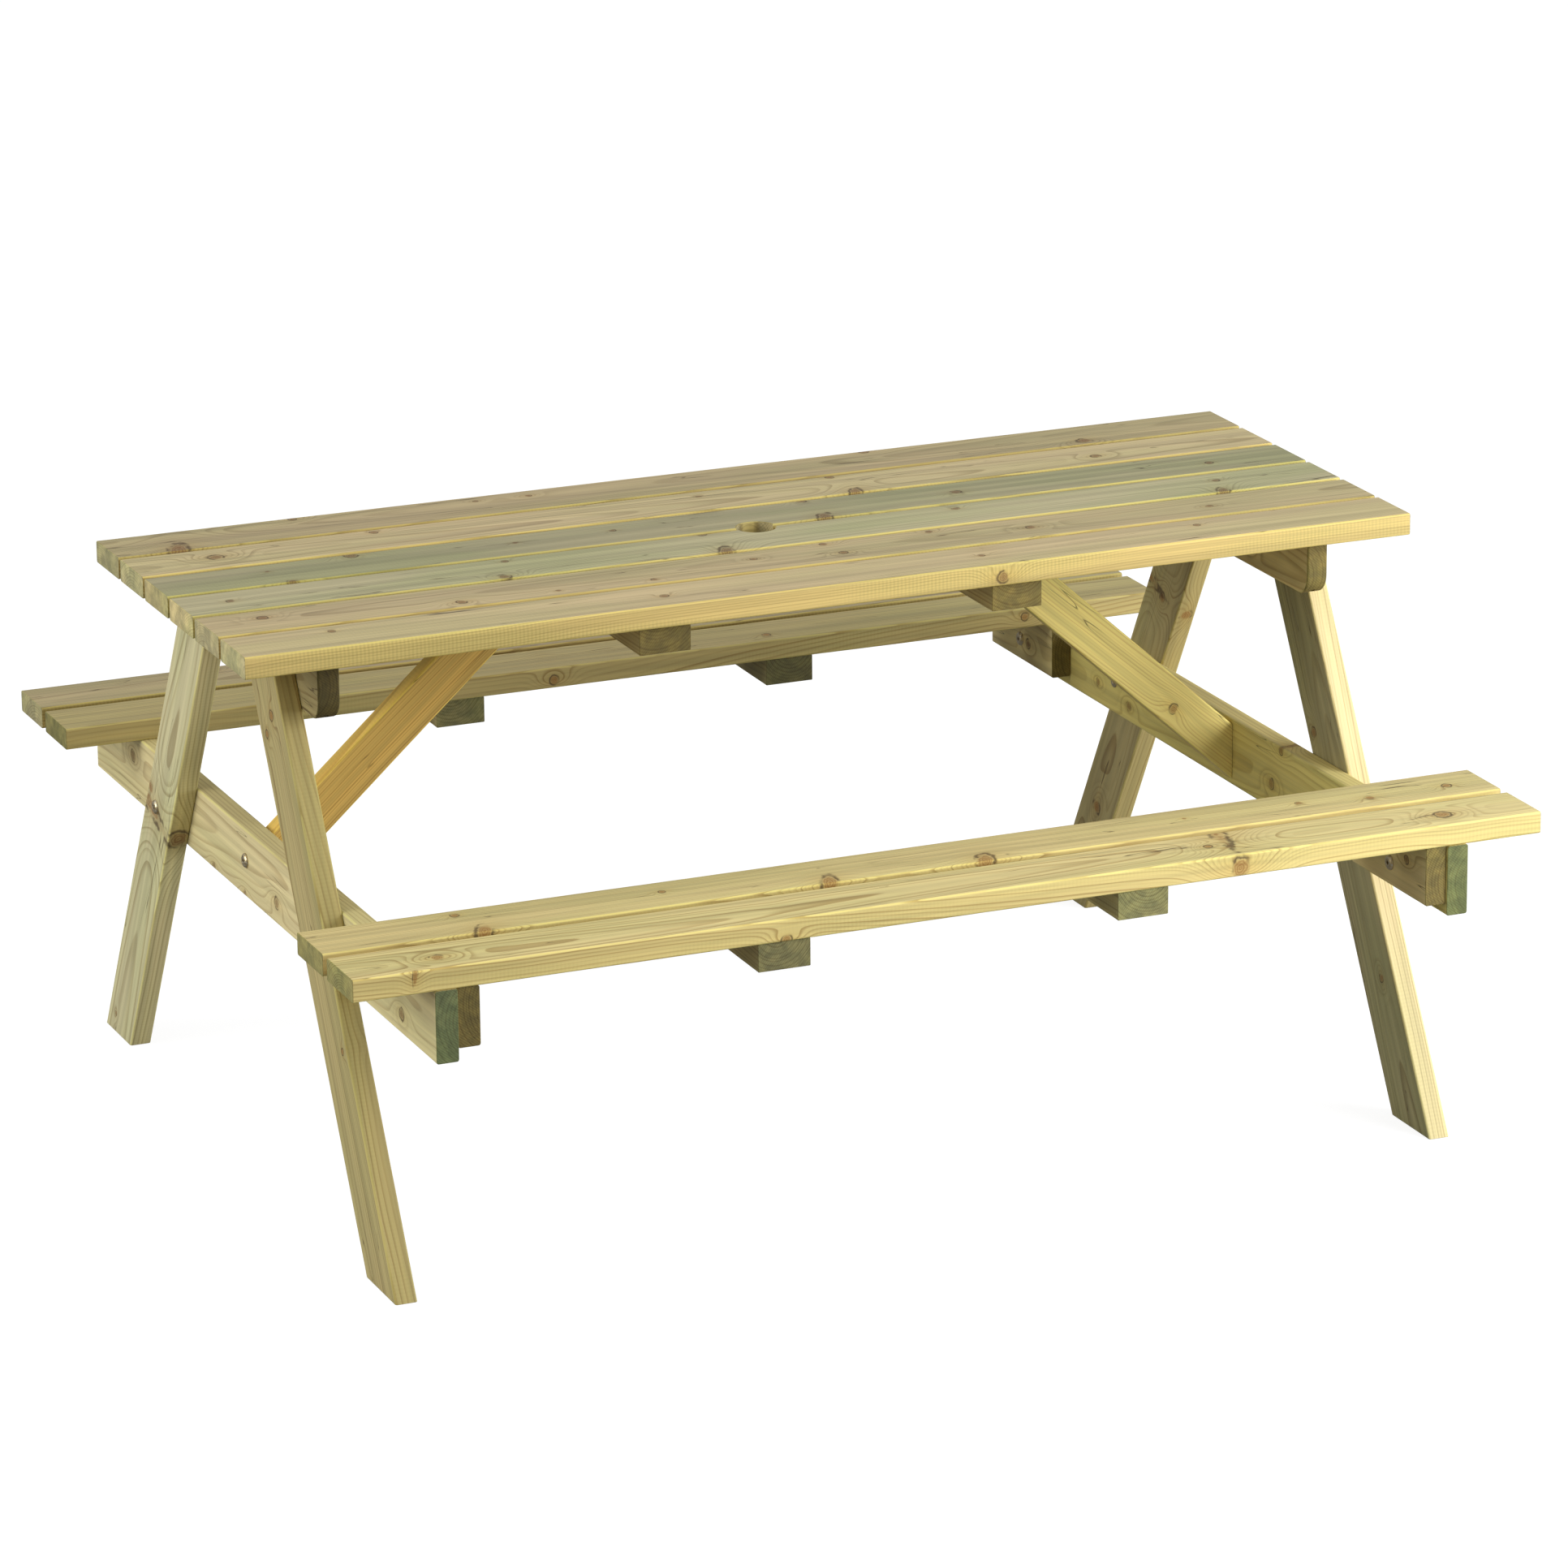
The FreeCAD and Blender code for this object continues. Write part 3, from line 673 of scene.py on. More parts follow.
def raw_board(length, width, thickness, radius, seed):
    """A board of the tree's rule, lying along X about the origin."""
    holder = temporary("raw board", bpy.data.meshes.new("raw board"))
    modifier = holder.modifiers.new("board", "NODES")
    modifier.node_group = board_tree
    set_inputs(modifier, {"Length": length, "Width": width, "Thickness": thickness, "Edge Radius": radius,
                          "Stations": int(length / STATION_GAP) + 2, "Seed": seed})
    mesh = evaluated_mesh(holder, "board")
    bpy.data.objects.remove(holder)
    return mesh


print("board tree:", len(board_tree.nodes), "nodes")

# %% [markdown]
# ## From a straight board to a part
#
# The legs and the braces are sawn at a slant, so their ends are sheared rather than cut, which
# keeps the mesh even. The crossbars have two big rounded lower corners, sawn before the edges
# were rounded, so they are drawn as an outline and built up in thin slices. Every sawn end gets a
# small chamfer, because a rim that is perfectly sharp catches no light.

# %% Shaping
SAW_CHAMFER = 0.0008
ROUND_STEPS = 5
CORNER_STEPS = 10
SMALL_CORNER_STEPS = 3


def moulded(mesh, tilt=0.0):
    """Leans the ends of a raw board over by the tilt, and takes the sharp rim off each sawn end."""
    shape = bmesh.new()
    shape.from_mesh(mesh)
    for vert in shape.verts:
        vert.co.x += vert.co.y * tilt
    shape.normal_update()
    sawn = [face for face in shape.faces if len(face.verts) > 4]  # all the others are quads
    rim = {edge for face in sawn for edge in face.edges}
    bmesh.ops.bevel(shape, geom=list(rim), offset=SAW_CHAMFER, offset_type="OFFSET", segments=2,
                    profile=0.5, affect="EDGES", clamp_overlap=False)
    return shape


def rounded_plate(outline, thickness, radius):
    """A flat part from its outline of (point, inward normal) pairs, all its edges rounded."""
    shape = bmesh.new()
    layers = []
    flat = thickness / 2 - radius
    for sign in (-1, 1):
        steps = range(ROUND_STEPS + 1)
        for step in (reversed(steps) if sign < 0 else steps):
            angle = math.pi / 2 * step / ROUND_STEPS
            inset = radius * (1 - math.cos(angle))
            height = sign * (flat + radius * math.sin(angle))
            layers.append([shape.verts.new((p[0] + n[0] * inset, p[1] + n[1] * inset, height))
                           for p, n in outline])
    count = len(outline)
    for low, high in zip(layers, layers[1:]):
        for k in range(count):
            n = (k + 1) % count
            shape.faces.new((low[k], low[n], high[n], high[k]))
    shape.faces.new(layers[-1])
    shape.faces.new(reversed(layers[0]))
    return shape


def crossbar_outline(length, width, corner, small_corner):
    """The head rail's outline, X along it and Y up, with large lower corners."""
    outline = []
    for side_x, side_y, first in ((-1, -1, 180), (1, -1, 270), (1, 1, 0), (-1, 1, 90)):
        radius = corner if side_y < 0 else small_corner
        centre = (side_x * (length / 2 - radius), side_y * (width / 2 - radius))
        steps = CORNER_STEPS if side_y < 0 else SMALL_CORNER_STEPS
        for step in range(steps + 1):
            angle = math.radians(first + 90 * step / steps)
            out = (math.cos(angle), math.sin(angle))
            point = (centre[0] + radius * out[0], centre[1] + radius * out[1])
            outline.append((point, (-out[0], -out[1])))
    return outline


def ring_radius(kind, size, angle):
    """Distance from the axis of a round, a hexagonal or a cross-shaped ring."""
    if kind == "hex":
        return size / 2 / math.cos(angle % (math.pi / 3) - math.pi / 6)
    if kind == "cross":
        return size if abs(math.sin(2 * angle)) < 0.1 else size * 0.42
    return size


def turned(name, profile, segments=24):
    """A closed solid about Z from (kind, size, height) rings that begin and end on the axis."""
    shape = bmesh.new()
    rows = []
    for kind, size, height in profile:
        angles = [math.tau * k / segments for k in range(segments if size else 1)]
        radii = [ring_radius(kind, size, angle) for angle in angles]
        rows.append([shape.verts.new((r * math.cos(a), r * math.sin(a), height))
                     for r, a in zip(radii, angles)])
    for low, high in zip(rows, rows[1:]):
        for k in range(segments):
            n = (k + 1) % segments
            corners = (low[k % len(low)], low[n % len(low)], high[n % len(high)], high[k % len(high)])
            shape.faces.new(list(dict.fromkeys(corners)))
    bmesh.ops.recalc_face_normals(shape, faces=shape.faces[:])
    mesh = bpy.data.meshes.new(name)
    shape.to_mesh(mesh)
    shape.free()
    return mesh


def drilled(mesh, drills):
    """The mesh with (profile, position) solids cut out of it, exactly."""
    board = temporary("drilled board", mesh)
    bits = []
    for profile, position in drills:
        bit = temporary("drill", turned("drill", profile, 48))
        bit.location = position
        bits.append(bit)
        cut = board.modifiers.new("drill", "BOOLEAN")
        cut.operation = "DIFFERENCE"
        cut.solver = "EXACT"
        cut.object = bit
    result = evaluated_mesh(board, mesh.name)
    for thing in [board] + bits:
        bpy.data.objects.remove(thing)
    return result


print("shaping tools ready")

# %% [markdown]
# ## The finished piece
#
# Last come the things that every board shares: normals that keep the flats flat and the edges
# round, and three attributes for the wood recipe. Grain is the place in the board itself, wide is
# 1 on the two broad faces, and end is 1 where the fibres are cut across.

# %% Dressing a board
SHARP_ANGLE = math.radians(50)
END_STARTS = 0.3
END_WIDTH = 0.3


def weighted(mesh):
    """Smooth normals that lean towards the larger face, with the sharp edges kept."""
    mesh.set_sharp_from_angle(angle=SHARP_ANGLE)
    holder = temporary("weighted", mesh)
    modifier = holder.modifiers.new("normals", "WEIGHTED_NORMAL")
    modifier.keep_sharp = True
    result = evaluated_mesh(holder, mesh.name)
    bpy.data.objects.remove(holder)
    return result


def dressed(shape, name, place, drills=()):
    """Turns a board in its own axes into a finished mesh in the frame."""
    mesh = bpy.data.meshes.new(name)
    shape.transform(place)
    bmesh.ops.recalc_face_normals(shape, faces=shape.faces[:])
    shape.to_mesh(mesh)
    shape.free()
    if drills:
        mesh = drilled(mesh, drills)
    for polygon in mesh.polygons:
        polygon.use_smooth = True
    mesh = weighted(mesh)
    home = place.inverted()
    turn = home.to_3x3()
    grain = mesh.attributes.new("grain", "FLOAT_VECTOR", "POINT")
    for vert, item in zip(mesh.vertices, grain.data):
        item.vector = home @ vert.co
    wide = mesh.attributes.new("wide", "FLOAT", "CORNER")
    end = mesh.attributes.new("end", "FLOAT", "CORNER")
    for corner, wide_item, end_item in zip(mesh.corner_normals, wide.data, end.data):
        normal = turn @ Vector(corner.vector)
        wide_item.value = abs(normal.z)
        end_item.value = min(1.0, max(0.0, (abs(normal.x) - END_STARTS) / END_WIDTH))
    return mesh


def add_piece(name, mesh, material, slot, *nodes):
    """One finished piece, in the frame, that stands for its CAD nodes."""
    piece = bpy.data.objects.new(name, mesh)
    scene.collection.objects.link(piece)
    mesh.materials.clear()
    mesh.materials.append(material)
    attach(piece, "root")
    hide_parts(*nodes)
    return piece


print("dressing tools ready")

# %% [markdown]
# ## Where each board lies
#
# A board's own axes are its length, its width and its thickness. The kind of board says how they
# stand in the table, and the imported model's boxes say where and how large. Only the lean of the
# legs and the rise of the braces have to be worked out from the boxes by a little trigonometry.

# %% Board places
EDGE_RADIUS = 0.003
BATTEN_RADIUS = 0.0015
BRACE_WIDTH = 0.055
BRACE_REACH = 0.003  # the brace's lower edge ends this far above the batten's underside
CROSSBAR_CORNER = 0.026
CROSSBAR_SMALL_CORNER = EDGE_RADIUS + 0.001
COUNTERBORE = 0.036
PARASOL_RADIUS = 0.025
SCREW_HEAD = 0.0045
DRILL_SPARE = 0.01
BORE_CHAMFER = 0.0012
RIM_CHAMFER = 0.001
X, Y, Z = Vector((1, 0, 0)), Vector((0, 1, 0)), Vector((0, 0, 1))


def side_of(node):
    return -1 if "left" in node else 1


def end_of(node):
    return -1 if "front" in node else 1


def middle(node):
    low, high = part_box(node)
    return (low + high) / 2


def axes_at(x, y, z, origin):
    """The matrix of a board whose length, width and thickness run along x, y and z."""
    place = Matrix((x, y, z)).transposed().to_4x4()
    place.translation = origin
    return place


def straight_place(node, x, y, z):
    low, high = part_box(node)
    size = high - low
    return axes_at(x, y, z, (low + high) / 2), [abs(size.dot(axis)) for axis in (x, y, z)]


def leg_place(node):
    """The leg's axes and size, and the tilt of its two level cuts."""
    low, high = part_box(node)
    size = high - low
    lean = math.acos(plank_width / math.hypot(size.y, size.z)) - math.atan2(size.z, size.y)
    end = end_of(node)
    along = Vector((0, -end * math.sin(lean), math.cos(lean)))
    place = axes_at(along, X.cross(along), X, (low + high) / 2)
    return place, (size.z / math.cos(lean), plank_width, size.x), end * math.tan(lean)


def brace_place(node):
    """The brace's axes and size, and the tilt of its two upright cuts."""
    low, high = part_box(node)
    side = side_of(node)
    run = high.x - low.x
    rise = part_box("table_batten_right")[0].z + BRACE_REACH - low.z
    slope = math.atan2(rise, run)
    along = Vector((-side * math.cos(slope), 0, math.sin(slope)))
    centre = (low + high) / 2
    centre.z = low.z + BRACE_WIDTH / math.cos(slope) / 2 + rise / 2
    place = axes_at(along, Y.cross(along), Y, centre)
    return place, (run / math.cos(slope), BRACE_WIDTH, high.y - low.y), side * math.tan(slope)


def round_rings(*rings):
    """A drill's profile of (radius, height) rings, all of them round."""
    return [("round", radius, height) for radius, height in rings]


def bore(node, centres):
    """Counterbores into the underside of a rail, one under each plank."""
    low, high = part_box(node)
    x = (low.x + high.x) / 2
    mouth = SCREW_HEAD + BORE_CHAMFER
    profile = round_rings((0, COUNTERBORE), (SCREW_HEAD, COUNTERBORE), (SCREW_HEAD, 0.0008),
                          (mouth, 0.0008 - BORE_CHAMFER), (mouth, -DRILL_SPARE), (0, -DRILL_SPARE))
    return [(profile, (x, y, low.z)) for y in centres]


def parasol_drill(node):
    """The hole for a parasol pole, chamfered above and below."""
    low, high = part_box(node)
    rim = PARASOL_RADIUS + RIM_CHAMFER
    depth = low.z - high.z
    profile = round_rings((0, DRILL_SPARE), (rim, DRILL_SPARE), (rim, 0), (PARASOL_RADIUS, -RIM_CHAMFER),
                          (PARASOL_RADIUS, depth + RIM_CHAMFER), (rim, depth), (rim, depth - DRILL_SPARE),
                          (0, depth - DRILL_SPARE))
    return [(profile, (0, 0, high.z))]


plank_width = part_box("table_plank_1")[1].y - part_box("table_plank_1")[0].y
plank_centres = [middle("table_plank_%d" % number).y for number in range(1, 7)]
seat_centres = {end: [middle("seat_%s_%s" % (end, row)).y for row in ("inner", "outer")]
                for end in ("front", "back")}


def kind_of(node):
    """Table and seat planks by their first word; battens and cleats by their second."""
    first, second = node.split("_")[:2]
    return second if second in ("batten", "cleat") else first


def build_board(node, seed):
    """The finished mesh of one board."""
    kind = kind_of(node)
    tilt, drills = 0.0, []
    if kind in ("table", "seat"):
        place, size = straight_place(node, X, Y, Z)
        if node in ("table_plank_3", "table_plank_4"):
            drills = parasol_drill(node)
    elif kind == "batten":
        place, size = straight_place(node, Y, -X, Z)
    elif kind in ("bearer", "cleat", "crossbar"):
        place, size = straight_place(node, Y, Z, X)
        if kind == "crossbar":
            drills = bore(node, plank_centres)
        if kind == "cleat":
            drills = bore(node, seat_centres["front" if "front" in node else "back"])
    elif kind == "leg":
        place, size, tilt = leg_place(node)
    else:
        place, size, tilt = brace_place(node)
    if kind == "crossbar":
        outline = crossbar_outline(size[0], size[1], CROSSBAR_CORNER, CROSSBAR_SMALL_CORNER)
        shape = rounded_plate(outline, size[2], EDGE_RADIUS)
    else:
        radius = BATTEN_RADIUS if kind == "batten" else EDGE_RADIUS
        shape = moulded(raw_board(*size, radius, seed), tilt)
    if kind == "brace":  # level its upper end, against the tabletop
        top = place.inverted() @ Vector((0, 0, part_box(node)[1].z))
        up = place.to_3x3().inverted() @ Z
        cut = bmesh.ops.bisect_plane(shape, geom=shape.verts[:] + shape.edges[:] + shape.faces[:],
                                     plane_co=top, plane_no=up, clear_outer=True)
        rim = [item for item in cut["geom_cut"] if isinstance(item, bmesh.types.BMEdge)]
        bmesh.ops.contextual_create(shape, geom=rim)
    return dressed(shape, node, place, drills)


print("plank width", round(plank_width, 4), "and plank centres", [round(y, 3) for y in plank_centres])

# %% [markdown]
# ## Thirty boards, thirty trees
#
# The table below is the timber yard's label on each board: its stock, its tone, where the pith of
# its tree lies, how wide the rings are, the level of the face that shows the knots, and the knots.
# A knot is given by its place along and across the board and its radius. If it isn't a plain knot
# on that face, the way of its branch follows, and its level. Lengths are in millimetres.
# A low tone is partly painted shade, for a board that stands in shade.

# %% The boards
BOARDS = {
    "table_plank_1": ("grey", 0.88, (12, -70), 3.2, 14, [
        (-690, -40, 12, "spike"), (-515, 37, 5), (-275, 22, 3), (-205, 19, 4), (269, 41, 6),
        (553, -27, 9)]),
    "table_plank_2": ("grey", 1.08, (-8, -40), 3.6, 14, [
        (-659, 5, 9), (-443, 32, 5), (-10, 20, 3), (178, 38, 5), (181, -42, 8, "spike"), (533, -8, 6)]),
    "table_plank_3": ("greenish", 0.95, (90, -60), 3.0, 14, [
        (-623, 11, 3), (-609, -43, 6), (-505, 37, 8), (-300, 8, 4), (-169, 11, 4), (99, 41, 6),
        (97, -42, 9, "spike"), (295, 0, 7), (651, -4, 5)]),
    "table_plank_4": ("greenish", 1.14, (-60, -62), 3.2, 14, [
        (-706, 1, 5), (-342, 29, 4), (-367, -36, 8), (-75, 44, 6), (-76, -41, 9, "spike"),
        (262, 23, 5), (619, 10, 5), (606, -41, 8, "spike")]),
    "table_plank_5": ("grey", 0.97, (6, -54), 3.0, 14, [
        (-695, 12, 6), (-454, -23, 6), (-330, -25, 3), (-205, -27, 4), (-60, 8, 4), (45, 34, 5),
        (52, -11, 5), (187, 33, 4), (311, -1, 6), (557, -3, 4)]),
    "table_plank_6": ("grey", 1.10, (-96, -60), 2.6, 14, [
        (-639, 19, 4), (-222, -4, 5), (200, 1, 4), (503, 18, 4), (209, -44, 7, "edge", -3)]),
    "seat_front_inner": ("yellow", 1.04, (120, -50), 3.0, 14, [
        (-569, -44, 10, "spike"), (-581, 26, 5), (-326, 8, 4), (-130, -41, 10, "spike"),
        (73, -42, 11, "spike"), (361, 8, 3), (516, 6, 4), (606, -10, 6), (715, -5, 6)]),
    "seat_front_outer": ("yellow", 1.08, (-4, -40), 3.4, 14, [
        (-653, -7, 8), (-693, -43, 3), (339, 0, 5), (361, -44, 12, "edge", -3), (655, -5, 10),
        (-231, -44, 6, "edge", -12)]),
    # The back seat's boards have low tones, partly painted shade for the seat under the tabletop.
    "seat_back_inner": ("yellow", 0.76, (60, -58), 3.2, 14, [
        (-103, -44, 6, "edge", -3), (576, -44, 5, "edge", 2), (-420, 10, 6), (210, -18, 5)]),
    "seat_back_outer": ("grey", 0.86, (-22, -47), 4.1, 14, [
        (-520, 20, 6), (60, -12, 7), (430, 30, 5), (-120, 44, 7, "edge", 0)]),
    # leg_front_left and leg_back_right: low tones, partly painted shade.
    "leg_front_left": ("yellow", 0.74, (-60, 70), 4.4, -14, [(301, 7, 6), (285, -22, 5), (-118, 29, 4)]),
    "leg_back_left": ("pale", 1.16, (8, 64), 5.2, -14, [
        (22, -36, 8), (7, 44, 13, "edge", 0), (-383, -19, 3)]),
    "leg_front_right": ("dun_painted_shade", 0.98, (16, 58), 3.4, 14, [(120, -20, 6), (-210, 18, 5)]),
    "leg_back_right": ("yellow", 0.72, (-14, 66), 4.0, -14, [
        (174, 0, 7), (182, 44, 8, "edge", 0), (-225, -2, 9)]),
    "bearer_left": ("teal", 1.02, (10, 52), 4.4, -14, [
        (483, 14, 7), (163, -40, 5), (45, -42, 5), (-77, -17, 7), (-521, -19, 7)]),
    "bearer_right": ("golden", 1.00, (-12, 46), 4.6, -14, [
        (354, -15, 5), (259, -23, 6), (-160, -11, 7), (-187, 40, 5)]),
    "brace_left": ("orange", 1.02, (210, 30), 3.4, 14, []),
    "brace_right": ("honey", 1.00, (130, 34), 3.8, -14, [(-144, -6, 6)]),
    # crossbar_left: a tone of 0.44, mostly painted shade.
    "crossbar_left": ("olive", 0.44, (6, -50), 4.2, -14, [(120, 10, 6)]),
    "crossbar_right": ("olive", 1.05, (-9, -44), 4.4, -14, [(-90, -8, 7), (40, 12, 5, "face", 14)]),
    "table_batten_left": ("olive", 0.82, (8, 40), 4.2, -17, [(-60, 4, 6)]),
    "table_batten_right": ("olive", 1.00, (-6, 44), 4.4, -17, [(90, -10, 7)]),
    "seat_batten_front_left": ("moss", 0.82, (4, 30), 4.6, -17, [(20, 5, 5)]),
    "seat_batten_front_right": ("moss", 1.10, (-5, 34), 4.4, -17, [(-30, -8, 5)]),
    "seat_batten_back_left": ("moss", 0.92, (9, 38), 4.2, -17, [(10, 9, 6)]),
    # seat_batten_back_right: a low tone, partly painted shade.
    "seat_batten_back_right": ("moss", 0.64, (-3, 30), 4.6, -17, [(-14, -3, 5)]),
    "seat_cleat_front_left": ("olive", 0.82, (12, 60), 3.8, 14, [(30, -8, 5)]),
    "seat_cleat_front_right": ("olive", 1.00, (-8, 58), 4.0, -14, [(-46, 8, 5)]),
    "seat_cleat_back_left": ("olive", 0.90, (10, 48), 4.0, 14, [(24, 12, 5)]),
    "seat_cleat_back_right": ("olive", 1.00, (-6, 52), 4.2, -14, [(-20, -9, 6)]),
}


def slot_of(node):
    if node.startswith("table_plank"):
        return "pine_tabletop"
    if node.startswith(("seat_front", "seat_back")):
        return "pine_seats"
    return "pine_frame"


def placed_knots(level, knots):
    """The knots with their level and branch written out: (x, y, z, radius, way)."""
    for x, y, size, *rest in knots:
        way, z = (rest + [level])[:2] if rest else ("face", level)
        yield x, y, z, size, way


boards = {}
for number, (node, (stock, tone, pith, ring, level, knots)) in enumerate(BOARDS.items()):
    chance = random.Random(number + 5)
    wander = chance.uniform(3.0, 5.5)
    taper = chance.uniform(0.010, 0.022) * chance.choice((-1, 1))
    seed = chance.uniform(0.0, 60.0)
    knots = list(placed_knots(level, knots))
    material = board_material(node, stock, tone, seed, pith, ring, wander, taper, knots)
    boards[node] = add_piece("pine_" + node, build_board(node, seed), material, slot_of(node), node)
print(len(boards), "boards,", sum(len(piece.data.polygons) for piece in boards.values()), "faces")

# %% [markdown]
# ## Bolts, sleeve nuts and screws
#
# The frame is held by flanged bolts with a hexagon socket, each with a flanged sleeve nut, and
# the planks by countersunk wood screws from below. They are turned parts, so each master is a
# profile swept about an axis, with rings that change from round to hexagonal or cross-shaped at
# the socket. Low ridges stand for the thread, which is out of sight in the wood.

# %% Fastener masters
FLANGE = 0.0095
NUT_FLANGE = 0.0085
HEAD = 0.004
SOCKET = 0.005
SOCKET_MOUTH = SOCKET * 1.12
SHANK = 0.004


def ridges(radius, depth, start, finish, pitch):
    """Rings of a thread between two heights."""
    rows = []
    for turn in range(int((finish - start) / pitch)):
        height = start + turn * pitch
        rows.append(("round", radius - depth, height))
        rows.append(("round", radius, height + pitch / 2))
    return rows


def bolt_master(length, tip):
    """A flanged socket bolt that points along Z, with the seat of its flange at the origin."""
    crown = [("round", 0, -0.0010), ("hex", SOCKET, -0.0011), ("hex", SOCKET, -0.0037),
             ("hex", SOCKET_MOUTH, -HEAD)]
    crown += round_rings((0.0060, -HEAD), (0.0080, -0.0031), (0.0093, -0.0016), (FLANGE, -0.0010), (FLANGE, 0))
    shank = round_rings((SHANK, 0), (SHANK, length * 0.3))
    shank += ridges(SHANK, 0.0005, length * 0.32, length - 2 * tip, 0.00125)
    point = round_rings((SHANK - 0.0006, length - tip), (0.0008, length), (0, length))
    return turned("bolt", crown + shank + point)


def nut_master():
    socket = [("round", 0, 0.0009), ("hex", SOCKET, 0.0008), ("hex", SOCKET, -0.0017),
              ("hex", SOCKET_MOUTH, -0.002)]
    return turned("sleeve nut", socket + round_rings(
        (0.0062, -0.002), (0.0082, -0.0012), (NUT_FLANGE, -0.0006), (NUT_FLANGE, 0), (0.005, 0),
        (0.005, 0.0176), (0.0047, 0.018), (0.0042, 0.018), (0.0041, 0.0032), (0, 0.003)))


def screw_master(length):
    head = [("round", 0, 0.0016), ("cross", 0.0010, 0.0015), ("cross", 0.0024, 0.0)]
    head += round_rings((0.0042, 0.0), (SCREW_HEAD, 0.00015), (0.0025, 0.0021), (0.0019, length * 0.3))
    thread = ridges(0.0025, 0.0008, length * 0.32, length - 0.007, 0.0024)
    return turned("screw", head + thread + round_rings((0.0013, length - 0.004), (0, length)), 12)


frame_bolt, cleat_bolt, brace_bolt = [
    bolt_master(length, tip) for length, tip in ((0.046, 0.001), (0.050, 0.008), (0.058, 0.008))]
sleeve_nut = nut_master()
plank_screw, brace_screw = screw_master(0.052), screw_master(0.068)
print("faces of a bolt, a nut and a screw:",
      [len(mesh.polygons) for mesh in (frame_bolt, sleeve_nut, plank_screw)])

# %% [markdown]
# ## Zinc plating
#
# The hardware is steel with a yellow passivated zinc coat: a pale metal with a warm cast that
# varies from place to place, and dull where it was handled. Wear is a group of its own, which
# gives a mask and a height; the metal itself stays in the material.

# %% Zinc material
PATCH_HEIGHT = 0.00002
SCRATCH_DEPTH = 0.00003


def make_wear_group():
    group, entry, leave = new_group("handled metal", {
        "Position": (0, 0, 0), "Scale": 300.0,
    }, ["Patches", "Scratches", "Height"])
    patches = ramp(group, noise(group, entry["Position"], entry["Scale"], 3.0, 0.6), 0.35, 0.65)
    long = vector_maths(group, "MULTIPLY", entry["Position"], (1.0, 9.0, 2.0))
    scratches = ramp(group, noise(group, long, times(group, entry["Scale"], 2.0), 1.0), 0.60, 0.66)
    height = plus(group, times(group, patches, PATCH_HEIGHT), times(group, scratches, -SCRATCH_DEPTH))
    put_out(group, leave, {"Patches": patches, "Scratches": scratches, "Height": height})
    return group


def zinc_material():
    material = bpy.data.materials.new("yellow zinc")
    material.use_nodes = True
    tree = material.node_tree
    shader = tree.nodes["Principled BSDF"]
    place = add(tree, "ShaderNodeTexCoord").outputs["Object"]
    wear = use_group(tree, make_wear_group(), Position=place)
    tint = blend(tree, wear["Patches"], (0.55, 0.42, 0.20, 1), (0.62, 0.56, 0.42, 1))
    tint = blend(tree, wear["Scratches"], tint, (0.42, 0.40, 0.36, 1))
    bump = add(tree, "ShaderNodeBump", {"Height": wear["Height"], "Strength": 0.6, "Distance": 1.0})
    tree.links.new(tint, shader.inputs["Base Color"])
    tree.links.new(ramp(tree, wear["Patches"], 0.0, 1.0, 0.30, 0.48), shader.inputs["Roughness"])
    tree.links.new(bump.outputs["Normal"], shader.inputs["Normal"])
    shader.inputs["Metallic"].default_value = 1.0
    return material


zinc = zinc_material()
print("zinc material:", len(zinc.node_tree.nodes), "nodes")

# %% [markdown]
# ## Setting the fasteners out
#
# One tree sets out every kind: a copy of the master on each point, turned so that its shank
# follows the point's drive direction, and spun by a seeded random angle, because nobody lines up
# the sockets of fourteen bolts.

# %% Set out tree
STEEL_SHARP_ANGLE = math.radians(35)


def make_set_out_tree():
    tree = bpy.data.node_groups.new("set out", "GeometryNodeTree")
    for label, kind in (("Geometry", "Geometry"), ("Fastener", "Object"), ("Finish", "Material"),
                        ("Seed", "Int")):
        tree.interface.new_socket(label, in_out="INPUT", socket_type="NodeSocket" + kind)
    tree.interface.new_socket("Geometry", in_out="OUTPUT", socket_type="NodeSocketGeometry")
    entry = tree.nodes.new("NodeGroupInput").outputs
    drive = add(tree, "GeometryNodeInputNamedAttribute", {"Name": "drive"},
                data_type="FLOAT_VECTOR").outputs[0]
    aimed = add(tree, "FunctionNodeAlignRotationToVector", {"Vector": drive}, axis="Z").outputs[0]
    angle = add(tree, "FunctionNodeRandomValue", data_type="FLOAT")
    angle.inputs[2].default_value = 0.0
    angle.inputs[3].default_value = math.tau
    tree.links.new(entry["Seed"], angle.inputs["Seed"])
    spin = add(tree, "FunctionNodeAxisAngleToRotation",
               {"Axis": (0, 0, 1), "Angle": angle.outputs[1]}).outputs[0]
    turn = add(tree, "FunctionNodeRotateRotation", {"Rotation": aimed, "Rotate By": spin},
               rotation_space="LOCAL").outputs[0]
    master = add(tree, "GeometryNodeObjectInfo", {"Object": entry["Fastener"]}).outputs["Geometry"]
    copies = add(tree, "GeometryNodeInstanceOnPoints", {"Points": entry["Geometry"], "Instance": master,
                                                        "Rotation": turn}).outputs[0]
    real = add(tree, "GeometryNodeRealizeInstances", {"Geometry": copies}).outputs[0]
    finished = add(tree, "GeometryNodeSetMaterial", {"Geometry": real, "Material": entry["Finish"]}).outputs[0]
    leave = tree.nodes.new("NodeGroupOutput")
    tree.links.new(finished, leave.inputs[0])
    return tree


set_out_tree = make_set_out_tree()


